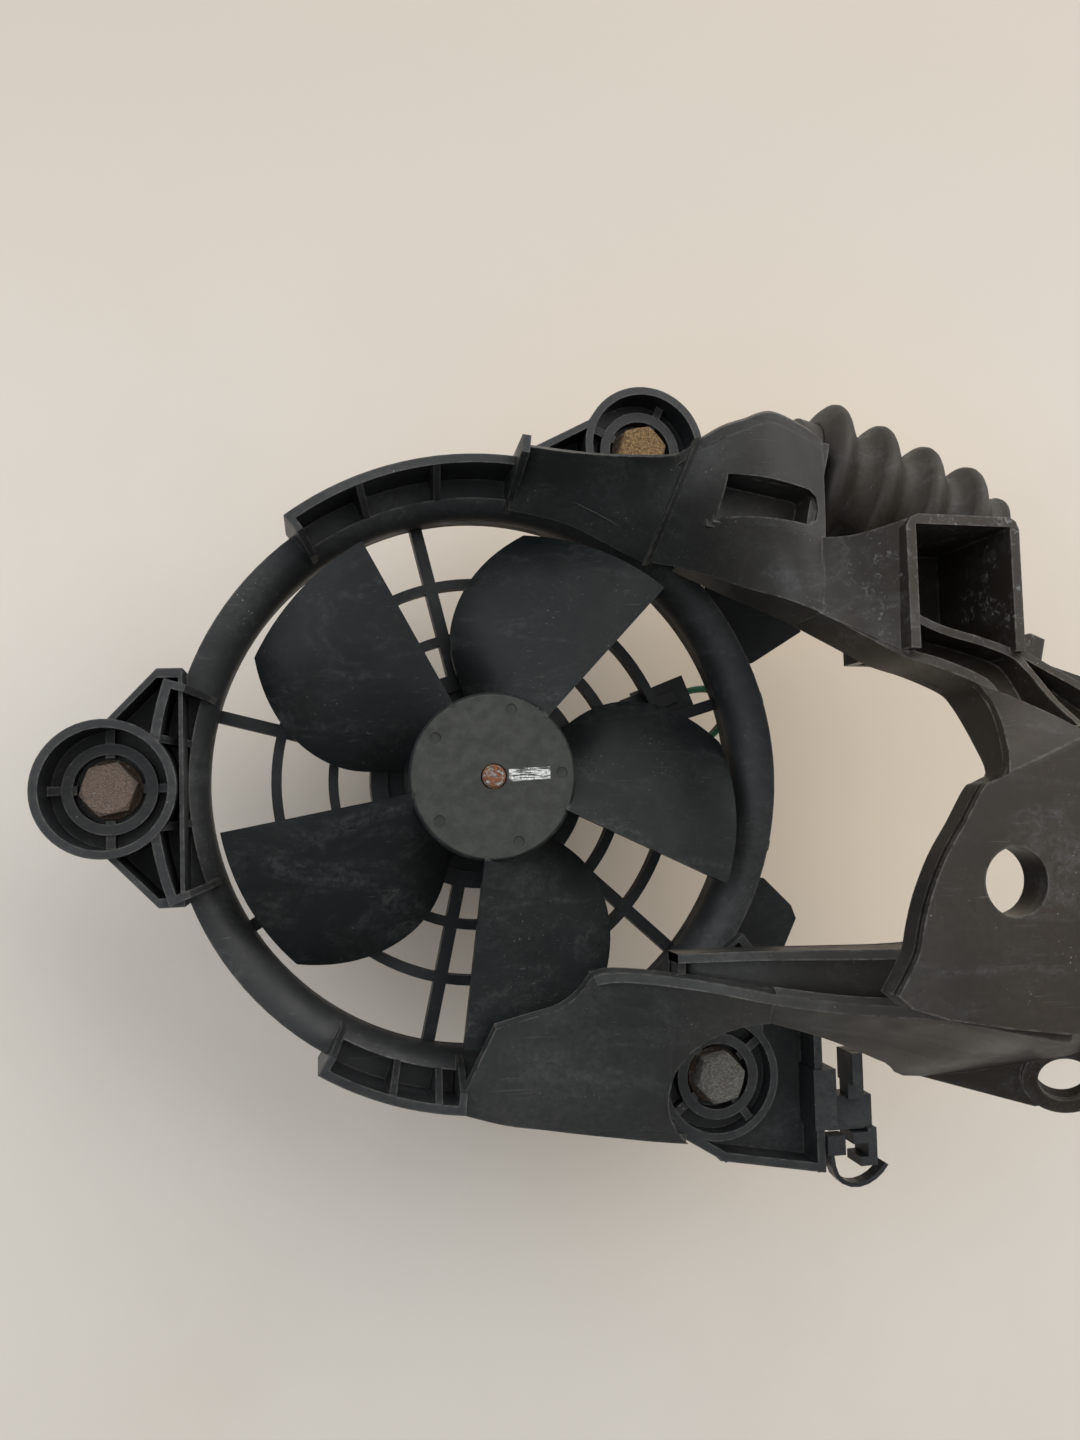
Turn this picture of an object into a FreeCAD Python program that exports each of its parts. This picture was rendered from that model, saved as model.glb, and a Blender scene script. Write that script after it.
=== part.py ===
import FreeCAD, Part
import math
import os

import Sketcher

# Radiator cooling fan of a small motor vehicle: a five-bladed impeller on a permanent-magnet motor,
# carried by a rear guard behind a moulded bell-mouth ring, with a moulded bracket frame in front.
# Millimetres. +Z is the fan axis and points to the front, where the hub face and the bolt heads are.
# The origin is on the fan axis, in the plane where the three mounting bosses seat.

V = FreeCAD.Vector
UP = V(0, 0, 1)
ORIGIN = V(0, 0, 0)

doc = FreeCAD.newDocument("radiator_cooling_fan")
sheet = doc.addObject("Spreadsheet::Sheet", "sizes")
nodes = []


# Sizes that know their own formula

class Size:
    """A value of the sheet, or a formula made of such values."""

    def __init__(self, text, value):
        self.text = text
        self.value = float(value)

    def __float__(self):
        return self.value

    def __add__(self, other):
        return Size("(%s + %s)" % (self.text, words(other)), self.value + float(other))

    def __sub__(self, other):
        return Size("(%s - %s)" % (self.text, words(other)), self.value - float(other))

    def __mul__(self, other):
        return Size("(%s * %s)" % (self.text, words(other)), self.value * float(other))

    def __truediv__(self, other):
        return Size("(%s / %s)" % (self.text, words(other)), self.value / float(other))

    def __neg__(self):
        return Size("(-1 * %s)" % self.text, -self.value)


def words(value):
    return value.text if isinstance(value, Size) else repr(float(value))


def size(alias, value, note):
    """One driving dimension: its own row in the sheet."""
    row = size.rows = getattr(size, "rows", 0) + 1
    sheet.set("A%d" % row, note)
    sheet.set("B%d" % row, str(value))
    sheet.setAlias("B%d" % row, alias)
    return Size("sizes." + alias, value)


def bind(thing, prop, value):
    thing.setExpression(prop, words(value))


# Driving dimensions: impeller

fan_radius = size("fan_radius", 68.5, "blade tips from the axis")
blade_count = 5
blade_front = size("blade_front", 16.4, "height of the straight blade edge")
blade_drop = size("blade_drop", 17.6, "axial depth of a blade")
blade_camber = size("blade_camber", 2.2, "crown of a blade between its edges")
blade_thick = size("blade_thick", 2.4, "blade thickness along the axis")
blade_root_span = size("blade_root_span", 57, "angle that a blade covers at its root")
blade_tip_span = size("blade_tip_span", 33, "angle that a blade covers at its tip")
blade_knee = size("blade_knee", 35, "radius where the rear edge starts to curve in")
blade_angle = size("blade_angle", 118.9, "angle of the first straight blade edge")
hub_radius = size("hub_radius", 21.7, "impeller hub")
hub_top = size("hub_top", 16, "hub face above the boss seats")
hub_depth = size("hub_depth", 19, "length of the hub skirt")
hub_wall = size("hub_wall", 2, "hub skirt and face thickness")
hub_chamfer = size("hub_chamfer", 0.9, "bevel round the hub face")
hub_mark_circle = size("hub_mark_circle", 17.9, "circle of the round moulding marks")
hub_mark_radius = size("hub_mark_radius", 1.5, "round moulding mark")
hub_mark_depth = size("hub_mark_depth", 0.3, "depth of a moulding mark")
insert_radius = size("insert_radius", 5.4, "metal insert in the hub boss")
insert_top = size("insert_top", 13.4, "top of the metal insert")
hub_boss_radius = size("hub_boss_radius", 8, "hub boss round the insert")
shaft_radius = size("shaft_radius", 3, "motor shaft")
shaft_top = size("shaft_top", 16.9, "front end of the shaft")

# Driving dimensions: bell-mouth ring and its pockets

throat_radius = size("throat_radius", 71.3, "air opening at the blade tips")
ring_rear = size("ring_rear", -4, "rear face of the ring")
lip_radius = size("lip_radius", 81, "front lip of the bell mouth")
lip_top = size("lip_top", 5.7, "height of the front lip")
ring_wall = size("ring_wall", 2.3, "wall of the ring moulding")
flange_radius = size("flange_radius", 79.5, "rear flange of the ring")
pocket_inner = size("pocket_inner", 76, "inner edge of a pocket floor")
pocket_outer = size("pocket_outer", 84.4, "outside of a pocket wall")
pocket_floor = size("pocket_floor", 1, "top of a pocket floor")
pocket_top = size("pocket_top", 16, "top of a pocket wall")
pocket_rib = size("pocket_rib", 2, "thickness of ribs and end walls")
tall_wall_top = size("tall_wall_top", 27, "top of the tall wall at its free end")

# Driving dimensions: bosses and bolts

boss_radius = size("boss_radius", 16.7, "outside of a boss cup")
boss_wall = size("boss_wall", 2.1, "wall of a boss cup")
boss_floor = size("boss_floor", 4, "floor of a boss cup")
boss_ring_outer = size("boss_ring_outer", 11.3, "raised ring in the cup, outside")
boss_ring_inner = size("boss_ring_inner", 8.6, "raised ring in the cup, inside")
boss_ring_top = size("boss_ring_top", 8, "top of the raised ring")
boss_web = size("boss_web", 2.2, "cross webs in the cup")
boss_arm_top = size("boss_arm_top", 14.5, "top of the arm walls")
boss_arm_foot = size("boss_arm_foot", 29, "half width of an arm at the ring")
collar_radius = size("collar_radius", 6.2, "outside of the metal collar")
bolt_radius = size("bolt_radius", 4, "threaded part of a mounting bolt")
bolt_waist = size("bolt_waist", 0.4, "how much thinner the plain shank is")
bolt_flats = size("bolt_flats", 12, "hexagon across flats")
bolt_head = size("bolt_head", 5.5, "height of the hexagon")
washer_radius = size("washer_radius", 7.4, "washer under the bolt head")
washer_thick = size("washer_thick", 1.6, "thickness of that washer")
bolt_reach = size("bolt_reach", 14, "bolt shank standing out behind the seats")
bolt_gap = size("bolt_gap", 0.3, "clearance round a shank in its collar")

boss_left = (size("boss_left_x", -94, "left boss"), size("boss_left_y", -2, "left boss"))
boss_above = (size("boss_top_x", 43.4, "top boss"), size("boss_top_y", 89.6, "top boss"))
boss_low = (size("boss_low_x", 61, "lower right boss"), size("boss_low_y", -80.7, "lower right boss"))
bosses = [boss_left, boss_above, boss_low]
boss_rims = [
    size("boss_left_rim", 17, "rim of the left cup"),
    size("boss_top_rim", 13, "rim of the top cup"),
    size("boss_low_rim", 9, "rim of the lower right cup"),
]

# Driving dimensions: guard and motor

guard_rear = size("guard_rear", -12, "rear of the guard spokes")
spoke_depth = size("spoke_depth", 4, "depth of spokes and rings")
spoke_width = size("spoke_width", 3.3, "width of a spoke")
guard_ring_width = size("guard_ring_width", 2.6, "width of a guard ring")
guard_ring_large = size("guard_ring_large", 55, "mean radius of the large guard ring")
guard_ring_small = size("guard_ring_small", 40, "mean radius of the small guard ring")
motor_ring_outer = size("motor_ring_outer", 30, "collar round the motor")
motor_radius = size("motor_radius", 25, "motor can")
motor_length = size("motor_length", 38, "length of the motor can")
motor_wall = size("motor_wall", 1.3, "sheet of the motor can")
motor_gap = size("motor_gap", 0.4, "clearance between the can and its collar")
motor_plate = size("motor_plate", 2.6, "plate that the motor is screwed to")
nose_radius = size("nose_radius", 7.6, "bearing nose of the can")
nose_length = size("nose_length", 5.5, "length of the bearing nose")
bush_radius = size("bush_radius", 6.3, "outside of a bearing bush")
bush_length = size("bush_length", 6, "length of a bearing bush")
running_gap = size("running_gap", 0.05, "shaft clearance in a bush")
cap_thick = size("cap_thick", 3, "rear end cap")
screw_circle = size("screw_circle", 16.5, "circle of the motor screws")
screw_radius = size("screw_radius", 2, "motor screw")
screw_head = size("screw_head", 3.6, "motor screw head")
screw_head_height = size("screw_head_height", 2.4, "height of that head")
magnet_wall = size("magnet_wall", 3.6, "magnet thickness")
magnet_length = size("magnet_length", 26, "magnet length")
air_gap = size("air_gap", 0.7, "gap between magnets and armature")
core_length = size("core_length", 20, "armature stack")
core_slots = 5
commutator_radius = size("commutator_radius", 6, "commutator")
commutator_length = size("commutator_length", 8, "length of the commutator")
brush_width = size("brush_width", 3.6, "carbon brush across")
brush_height = size("brush_height", 5, "carbon brush along the axis")
brush_length = size("brush_length", 6.5, "carbon brush, radial length")
holder_length = size("holder_length", 12.2, "brush holder, radial length")
lead_radius = size("lead_radius", 0.95, "insulated lead")

# Driving dimensions: bracket frame

frame_wall = size("frame_wall", 2.6, "wall of the bracket frame")
plate_top = size("plate_top", 89, "front face of the bracket's head plate")
plate_skirt = size("plate_skirt", 11, "depth of the head plate's skirt")
plate_hole = size("plate_hole", 7.2, "bolt hole in the head plate")
plate_hole_x = size("plate_hole_x", 97, "that hole from the axis")
plate_hole_y = size("plate_hole_y", -25, "that hole from the axis")
plate_hole_depth = size("plate_hole_depth", 8, "length of that hole")
access_radius = size("access_radius", 20.5, "bolt access cut-out in the cover")
socket_width = size("socket_width", 27, "box socket, inside height")
socket_length = size("socket_length", 24, "box socket, inside width")
socket_depth = size("socket_depth", 15, "box socket, depth")
socket_top = size("socket_top", 66, "rim of the box socket")
lug_hole = size("lug_hole", 6, "hole in the slanted lug")
slot_half = size("slot_half", 4.6, "half width of the slot in the elbow")
neck_radius = size("neck_radius", 15, "outside of the elbow's neck")
neck_length = size("neck_length", 8, "length of that neck")

# Driving dimensions: bellows boot, plug and leads

boot_radius = size("boot_radius", 22, "first lobe of the boot")
boot_pitch = size("boot_pitch", 13.9, "distance between lobes")
boot_depth = size("boot_depth", 6, "depth of the folds")
boot_taper = size("boot_taper", 1.3, "how much smaller each next lobe is")
boot_lobes = 4
boot_wall = 0.9
plug_length = size("plug_length", 18, "plug housing, length")
plug_width = size("plug_width", 9.6, "plug housing, width")
plug_depth = size("plug_depth", 9, "plug housing, depth")
plug_x = size("plug_x", 54.5, "middle of the plug")
plug_y = size("plug_y", 22.3, "middle of the plug")
plug_z = size("plug_z", -17.6, "middle of the plug")
plug_angle = 22.0
lead_rise = size("lead_rise", 1.25, "half the distance between the two leads")
grommet_radius = 3.4
grommet_z = -44.2


# Making pieces

def keep(thing, name):
    """Name a finished sub-part; its label is the name of its file."""
    thing.Label = name
    nodes.append(thing)
    return thing


def body(name):
    return doc.addObject("PartDesign::Body", name + "_form")


def origin_plane(owner, role):
    return next(item for item in owner.Origin.OriginFeatures if item.Role == role)


def sketch_on(owner, role, name, height=None):
    """A sketch on one of the body's own planes, raised by height."""
    drawing = owner.newObject("Sketcher::SketchObject", name)
    drawing.AttachmentSupport = (origin_plane(owner, role), "")
    drawing.MapMode = "FlatFace"
    if height is not None:
        bind(drawing, "AttachmentOffset.Base.z", height)
    return drawing


def pin_down(drawing, geometry, point, x, y):
    """Tie a point of the sketch to its two measures."""
    for value, axis, kind in ((x, -2, "DistanceX"), (y, -1, "DistanceY")):
        if abs(float(value)) < 1e-9:
            drawing.addConstraint(Sketcher.Constraint("PointOnObject", geometry, point, axis))
            continue
        index = drawing.addConstraint(
            Sketcher.Constraint(kind, -1, 1, geometry, point, float(value)))
        if isinstance(value, Size):
            drawing.setExpression("Constraints[%d]" % index, value.text)


def outline(drawing, points):
    """A closed outline of straight lines through the points."""
    spots = [V(float(x), float(y), 0) for x, y in points]
    count = len(spots)
    for i in range(count):
        drawing.addGeometry(Part.LineSegment(spots[i], spots[(i + 1) % count]))
    for i in range(count):
        drawing.addConstraint(Sketcher.Constraint("Coincident", i, 2, (i + 1) % count, 1))
    for i, (x, y) in enumerate(points):
        pin_down(drawing, i, 1, x, y)


def circle(drawing, x, y, radius):
    index = drawing.addGeometry(Part.Circle(V(float(x), float(y), 0), UP, float(radius)))
    rule = drawing.addConstraint(Sketcher.Constraint("Radius", index, float(radius)))
    drawing.setExpression("Constraints[%d]" % rule, words(radius))
    pin_down(drawing, index, 3, x, y)


def turned(name, points):
    """A body turned about the fan axis from (radius, height) points."""
    owner = body(name)
    drawing = sketch_on(owner, "XZ_Plane", name + "_profile")
    outline(drawing, points)
    turn = owner.newObject("PartDesign::Revolution", name + "_turn")
    turn.Profile = drawing
    turn.ReferenceAxis = (drawing, ["V_Axis"])
    turn.Angle = 360
    owner.Tip = turn
    return owner


def padded(name, height, length, draw):
    """A body raised from a sketch at the given height."""
    owner = body(name)
    drawing = sketch_on(owner, "XY_Plane", name + "_outline", height)
    draw(drawing)
    pad = owner.newObject("PartDesign::Pad", name + "_pad")
    pad.Profile = drawing
    bind(pad, "Length", length)
    owner.Tip = pad
    return owner


def cylinder(name, radius, height, x=0, y=0, z=0):
    thing = doc.addObject("Part::Cylinder", name)
    bind(thing, "Radius", radius)
    bind(thing, "Height", height)
    for axis, value in zip("xyz", (x, y, z)):
        bind(thing, "Placement.Base." + axis, value)
    return thing


def fused(name, things):
    whole = doc.addObject("Part::MultiFuse", name)
    whole.Shapes = things
    return whole


def minus(name, base, tool):
    cut = doc.addObject("Part::Cut", name)
    cut.Base = base
    cut.Tool = tool
    return cut


def shaped(name, shape):
    """A sub-part whose form needs free surfaces or a path."""
    thing = doc.addObject("Part::Feature", name + "_form")
    thing.Shape = shape if shape.Placement.isIdentity() else Part.makeCompound([shape])
    thing.Placement = FreeCAD.Placement()
    return thing


def ring_sector(inner, outer, low, high, start, end):
    """A block of the ring between two radii, two heights and two angles in degrees."""
    return turned_face([(inner, low), (outer, low), (outer, high), (inner, high)], start, end)


def turned_face(points, start, end):
    """A closed (radius, height) outline turned from one angle to another."""
    corners = [V(float(r), 0, float(h)) for r, h in points]
    face = Part.Face(Part.makePolygon(corners + corners[:1]))
    block = face.revolve(ORIGIN, UP, end - start)
    block.rotate(ORIGIN, UP, start)
    return block


def prism(points, low, high):
    """A plan outline raised between two heights."""
    corners = [V(float(x), float(y), float(low)) for x, y in points]
    face = Part.Face(Part.makePolygon(corners + corners[:1]))
    return face.extrude(V(0, 0, float(high) - float(low)))


def tube(outer, inner, low, high, x=0, y=0):
    base = V(float(x), float(y), float(low))
    long = float(high) - float(low)
    shell = Part.makeCylinder(float(outer), long, base)
    if float(inner) > 0:
        shell = shell.cut(Part.makeCylinder(float(inner), long, base))
    return shell


def joined(solid, parts):
    """Fuse the parts on one after another."""
    for part in parts:
        solid = solid.fuse(part)
    return solid


# Ring moulding

def bell_mouth():
    """Throat, quarter-round flare, front lip and rear flange of the ring."""
    flare = float(lip_top) - float(ring_rear) - 0.6
    throat = float(throat_radius)
    lip = float(lip_radius)
    wall = float(ring_wall)
    rear = float(ring_rear)
    top = float(lip_top)
    centre_r = throat + flare
    centre_z = top - flare
    bend = math.sqrt(0.5)
    inner_mid = V(centre_r - flare * bend, 0, centre_z + flare * bend)
    small = flare - wall
    outer_mid = V(centre_r - small * bend, 0, centre_z + small * bend)
    edges = [
        Part.LineSegment(V(throat, 0, rear), V(throat, 0, centre_z)),
        Part.Arc(V(throat, 0, centre_z), inner_mid, V(centre_r, 0, top)),
        Part.LineSegment(V(centre_r, 0, top), V(lip, 0, top)),
        Part.LineSegment(V(lip, 0, top), V(lip, 0, top - wall)),
        Part.LineSegment(V(lip, 0, top - wall), V(centre_r, 0, top - wall)),
        Part.Arc(V(centre_r, 0, top - wall), outer_mid, V(throat + wall, 0, centre_z)),
        Part.LineSegment(V(throat + wall, 0, centre_z), V(throat + wall, 0, rear + wall)),
        Part.LineSegment(V(throat + wall, 0, rear + wall), V(float(flange_radius), 0, rear + wall)),
        Part.LineSegment(V(float(flange_radius), 0, rear + wall), V(float(flange_radius), 0, rear)),
        Part.LineSegment(V(float(flange_radius), 0, rear), V(throat, 0, rear)),
    ]
    wire = Part.Wire([edge.toShape() for edge in edges])
    return Part.Face(wire).revolve(ORIGIN, UP, 360)


def pocket(start, end, ribs):
    """A raised pocket outside the throat: floor, outer wall, end walls and ribs."""
    wall = float(ring_wall)
    inner = float(pocket_inner)
    outer = float(pocket_outer)
    rear = float(ring_rear)
    floor = float(pocket_floor)
    top = float(pocket_top)
    half = math.degrees(float(pocket_rib) / 2 / outer)
    parts = [
        ring_sector(inner - wall, outer, floor - wall, floor, start, end),
        ring_sector(outer - wall, outer, rear, top, start, end),
    ]
    web = [(inner - wall, floor - wall), (outer, floor - wall), (outer, top), (outer - wall, top),
           (inner, floor + 4)]
    for angle in [start + half, end - half]:
        full = [(throat_radius, rear), (outer, rear), (outer, top), (inner + 3, top),
                (inner - wall, lip_top)]
        parts.append(turned_face(full, angle - half, angle + half))
    for angle in ribs:
        parts.append(turned_face(web, angle - half, angle + half))
    return parts


def clear_above_pocket(start, end):
    return ring_sector(float(pocket_inner) - 0.01, float(lip_radius) + 1, pocket_floor, float(lip_top) + 1,
                       start, end)


pockets = [
    (84.0, 128.5, (99.7, 114.3)),
    (238.5, 264.5, (251.5, 259.7)),
    (163.0, 201.0, (173.0, 188.0)),
]


def boss(place, rim_top):
    """A boss cup with its floor, raised ring, cross webs and the arm to the ring."""
    x, y = float(place[0]), float(place[1])
    angle = math.degrees(math.atan2(y, x))
    away = math.hypot(x, y)
    cup_r = float(boss_radius)
    wall = float(boss_wall)
    floor = float(boss_floor)
    foot = float(boss_arm_foot)
    arm_top = min(float(boss_arm_top), float(rim_top))
    base = tube(cup_r, 0, 0, floor)
    rim = tube(cup_r, cup_r - wall, 0, rim_top)
    rise = tube(boss_ring_outer, boss_ring_inner, 0, boss_ring_top)
    webs = []
    for i in range(4):
        near = float(washer_radius) + 0.3
        web = Part.makeBox(cup_r - near - 0.5, float(boss_web), float(boss_ring_top) - 0.6,
                           V(near, -float(boss_web) / 2, 0))
        web.rotate(ORIGIN, UP, 90 * i)
        webs.append(web)
    inside = float(pocket_inner) - away
    edge = inside + 6
    outer = [(0, cup_r - 0.4), (edge, foot), (inside, foot), (inside, -foot), (edge, -foot), (0, 0.4 - cup_r)]
    room = foot - wall * 1.1
    slack = cup_r - wall * 1.2
    inner = [(0, slack), (edge, room), (inside + 1, room), (inside + 1, -room), (edge, -room), (0, -slack)]
    arm = prism(outer, 0, arm_top).cut(prism(inner, ring_wall, 40))
    arm = arm.cut(tube(cup_r - 0.01, 0, -1, 60))
    whole = base.fuse([rim, rise, arm] + webs)
    whole.rotate(ORIGIN, UP, angle)
    whole.translate(V(x, y, 0))
    return whole


def end_web():
    """The web that closes the free end of the tall wall."""
    return turned_face([(throat_radius, ring_rear), (84, ring_rear), (86.5, tall_wall_top),
                        (82, tall_wall_top), (73.5, 4)], 84.0, 85.5)


def bolt_tray():
    """The open tray round the lower right boss, which also carries the harness clip."""
    wall = float(ring_wall)
    walls = [
        ((44.0, -90.5), (55.5, -97.5)),
        ((55.5, -97.5), (62.0, -101.5)),
        ((62.0, -101.5), (89.6, -106.5)),
        ((89.6, -106.5), (89.6, -68.0)),
        ((89.6, -68.0), (76.0, -58.0)),
    ]
    parts = [upright(a, b, wall, ring_rear + 2, 9) for a, b in walls]
    plan = [(44.0, -90.5), (55.5, -97.5), (62.0, -101.5), (89.6, -106.5), (89.6, -68.0), (76.0, -58.0),
            (60.0, -55.0)]
    parts.append(prism(plan, ring_rear + 2, float(ring_rear) + 2 + wall))
    return parts


def upright(start, end, wall, low, high):
    """An upright wall on the line between two plan points."""
    run = V(end[0] - start[0], end[1] - start[1], 0)
    angle = math.degrees(math.atan2(run.y, run.x))
    wall = float(wall)
    slab = Part.makeBox(run.Length + wall, wall, float(high) - float(low), V(-wall / 2, -wall / 2, float(low)))
    slab.rotate(ORIGIN, UP, angle)
    slab.translate(V(start[0], start[1], 0))
    return slab


def make_shroud_ring():
    solid = bell_mouth()
    for start, end, ribs in pockets:
        solid = solid.cut(clear_above_pocket(start, end))
    for start, end, ribs in pockets:
        solid = joined(solid, pocket(start, end, ribs))
    solid = joined(solid, [end_web()] + bolt_tray())
    for x, y in bosses:
        solid = solid.cut(tube(float(boss_radius) - 0.5, 0, -20, 60, x, y))
    for place, rim in zip(bosses, boss_rims):
        solid = solid.fuse(boss(place, rim))
    solid = solid.cut(tube(throat_radius, 0, -30, 120))
    for x, y in bosses:
        solid = solid.cut(tube(collar_radius, 0, -5, float(boss_floor) + 0.01, x, y))
    slot = Part.makeBox(1.7, 5.0, 6.5, V(74.2, -2.5, -5.5))
    slot.rotate(ORIGIN, UP, 263)
    return shaped("shroud_ring", solid.cut(slot))


keep(make_shroud_ring(), "shroud_ring")


# Impeller

def blade():
    """One blade: a twisted, crowned sheet with a straight front edge and a curved rear edge."""
    tip = float(fan_radius)
    root = float(hub_radius) - 1.2
    knee = float(blade_knee)
    rows = 7
    columns = 7
    grid = []
    for i in range(rows):
        radius = root + (tip - root) * i / (rows - 1)
        beyond = max(0.0, (radius - knee) / (tip - knee))
        span = float(blade_root_span) - (float(blade_root_span) - float(blade_tip_span)) * beyond ** 1.5
        line = []
        for j in range(columns):
            along = j / (columns - 1)
            turn = math.radians(span * along)
            crown = float(blade_camber) * 4 * along * (1 - along)
            height = float(blade_front) - float(blade_drop) * along + crown
            line.append(V(radius * math.cos(turn), radius * math.sin(turn), height))
        grid.append(line)
    sheet_face = Part.BSplineSurface()
    sheet_face.interpolate(grid)
    return sheet_face.toShape().extrude(V(0, 0, -float(blade_thick)))


def make_impeller():
    rear = hub_top - hub_depth
    hub = turned("impeller_hub", [
        (insert_radius, insert_top),
        (shaft_radius + 0.4, insert_top),
        (shaft_radius + 0.4, hub_top),
        (hub_radius - hub_chamfer, hub_top),
        (hub_radius, hub_top - hub_chamfer),
        (hub_radius, rear),
        (hub_radius - hub_wall, rear),
        (hub_radius - hub_wall, hub_top - hub_wall - 0.6),
        (hub_boss_radius, hub_top - hub_wall - 0.6),
        (hub_boss_radius, rear + 3),
        (insert_radius, rear + 3),
    ])
    blades = []
    for i in range(blade_count):
        sheet_piece = doc.addObject("Part::Feature", "blade_%d" % (i + 1))
        sheet_piece.Shape = blade()
        angle = float(blade_angle) - 360.0 / blade_count * i
        sheet_piece.Placement = FreeCAD.Placement(ORIGIN, FreeCAD.Rotation(UP, angle))
        blades.append(sheet_piece)
    ribs = []
    for i in range(blade_count):
        rib = doc.addObject("Part::Box", "hub_rib_%d" % (i + 1))
        bind(rib, "Length", hub_radius - hub_boss_radius - 1)
        bind(rib, "Width", hub_wall * 0.8)
        bind(rib, "Height", hub_depth * 0.6)
        angle = float(blade_angle) + 36 - 360.0 / blade_count * i
        reach = float(hub_boss_radius) - 0.3
        lift = float(hub_top) - float(hub_wall) - float(hub_depth) * 0.6
        spin = FreeCAD.Rotation(UP, angle)
        rib.Placement = FreeCAD.Placement(spin.multVec(V(reach, 0, lift)), spin)
        ribs.append(rib)
    core = fused("impeller_core", [hub] + ribs + blades)
    marks = []
    for i in range(blade_count):
        angle = math.radians(2.5 + 72 * i)
        marks.append(cylinder("hub_mark_%d" % (i + 1), hub_mark_radius, hub_mark_depth + 1,
                              hub_mark_circle * math.cos(angle), hub_mark_circle * math.sin(angle),
                              hub_top - hub_mark_depth))
    return minus("impeller_finished", core, fused("hub_marks", marks))


keep(make_impeller(), "impeller")

keep(turned("hub_insert", [
    (shaft_radius, hub_top - hub_depth + 3),
    (insert_radius, hub_top - hub_depth + 3),
    (insert_radius, insert_top),
    (shaft_radius, insert_top),
]), "hub_insert")


# Motor

motor_front = guard_rear - motor_plate + spoke_depth - 1.4
can_front = motor_front
can_rear = can_front - motor_length
shaft_rear = can_rear - cap_thick - 4

keep(turned("motor_shaft", [
    (0, shaft_rear),
    (shaft_radius - 0.4, shaft_rear),
    (shaft_radius, shaft_rear + 0.4),
    (shaft_radius, shaft_top - 0.5),
    (shaft_radius - 0.5, shaft_top),
    (0, shaft_top),
]), "motor_shaft")


def make_motor_can():
    inner = motor_radius - motor_wall
    return turned("motor_can", [
        (shaft_radius + 1, can_front + nose_length),
        (nose_radius, can_front + nose_length),
        (nose_radius, can_front),
        (motor_radius - 1.5, can_front),
        (motor_radius, can_front - 1.5),
        (motor_radius, can_rear),
        (inner, can_rear),
        (inner, can_front - motor_wall),
        (bush_radius, can_front - motor_wall),
        (bush_radius, can_front + nose_length - motor_wall),
        (shaft_radius + 1, can_front + nose_length - motor_wall),
    ])


def screw_places():
    places = []
    for i in range(3):
        angle = math.radians(45 + 120 * i)
        places.append((screw_circle * math.cos(angle), screw_circle * math.sin(angle)))
    return places


lead_hole = cylinder("lead_hole", grommet_radius + 0.05, 6, motor_radius - 4, 0, grommet_z)
lead_hole.Placement.Rotation = FreeCAD.Rotation(V(0, 1, 0), 90)
can_holes = [lead_hole] + [cylinder("can_hole_%d" % i, screw_radius + 0.15, motor_wall + 4, x, y, can_front - motor_wall - 2)
             for i, (x, y) in enumerate(screw_places())]
keep(minus("motor_can_drilled", make_motor_can(), fused("can_holes", can_holes)), "motor_can")

front_bush_top = can_front + nose_length - motor_wall
keep(turned("front_bush", [
    (shaft_radius + running_gap, front_bush_top - bush_length),
    (bush_radius, front_bush_top - bush_length),
    (bush_radius, front_bush_top),
    (shaft_radius + running_gap, front_bush_top),
]), "front_bush")

keep(turned("rear_bush", [
    (shaft_radius + running_gap, can_rear - cap_thick - 3),
    (bush_radius, can_rear - cap_thick - 3),
    (bush_radius, can_rear - cap_thick + 3),
    (shaft_radius + running_gap, can_rear - cap_thick + 3),
]), "rear_bush")

keep(turned("motor_end_cap", [
    (0, can_rear - cap_thick - 6),
    (bush_radius + 2, can_rear - cap_thick - 6),
    (bush_radius + 2, can_rear - cap_thick),
    (motor_radius, can_rear - cap_thick),
    (motor_radius, can_rear),
    (motor_radius - motor_wall - 0.1, can_rear),
    (motor_radius - motor_wall - 0.1, can_rear + 2.5),
    (motor_radius - motor_wall - 2.5, can_rear + 2.5),
    (motor_radius - motor_wall - 2.5, can_rear),
    (bush_radius, can_rear),
    (bush_radius, can_rear - cap_thick - 3),
    (shaft_radius + 0.5, can_rear - cap_thick - 3),
    (shaft_radius + 0.5, can_rear - cap_thick - 4.6),
    (0, can_rear - cap_thick - 4.6),
]), "motor_end_cap")

magnet_outer = motor_radius - motor_wall
magnet_low = can_rear + 10
core_radius = magnet_outer - magnet_wall - air_gap
core_low = magnet_low + (magnet_length - core_length) / 2


def make_magnets():
    low = float(magnet_low)
    high = low + float(magnet_length)
    outer = float(magnet_outer)
    arcs = [ring_sector(outer - float(magnet_wall), outer, low, high, start, start + 130)
            for start in (25, 205)]
    return shaped("magnets", Part.makeCompound(arcs))


keep(make_magnets(), "magnets")


def make_armature_core():
    """A laminated stack with T-shaped teeth round the shaft."""
    low = float(core_low)
    high = low + float(core_length)
    outer = float(core_radius)
    stack = tube(outer, shaft_radius, low, high)
    for i in range(core_slots):
        angle = 360.0 / core_slots * i
        mouth = Part.makeBox(outer, 2.4, high - low + 2, V(7.5, -1.2, low - 1))
        room = ring_sector(8.5, outer - 3, low - 1, high + 1, -24, 24)
        slot = mouth.fuse(room)
        slot.rotate(ORIGIN, UP, angle)
        stack = stack.cut(slot)
    return shaped("armature_core", stack)


keep(make_armature_core(), "armature_core")


def make_windings():
    """Copper coils that fill the slots and stand out at both ends of the stack."""
    low = float(core_low)
    high = low + float(core_length)
    outer = float(core_radius)
    coils = []
    for i in range(core_slots):
        coil = ring_sector(9, outer - 3.4, low - 3.5, high + 2, -23, 23)
        coil.rotate(ORIGIN, UP, 360.0 / core_slots * i)
        coils.append(coil)
    return shaped("armature_windings", Part.makeCompound(coils))


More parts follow.
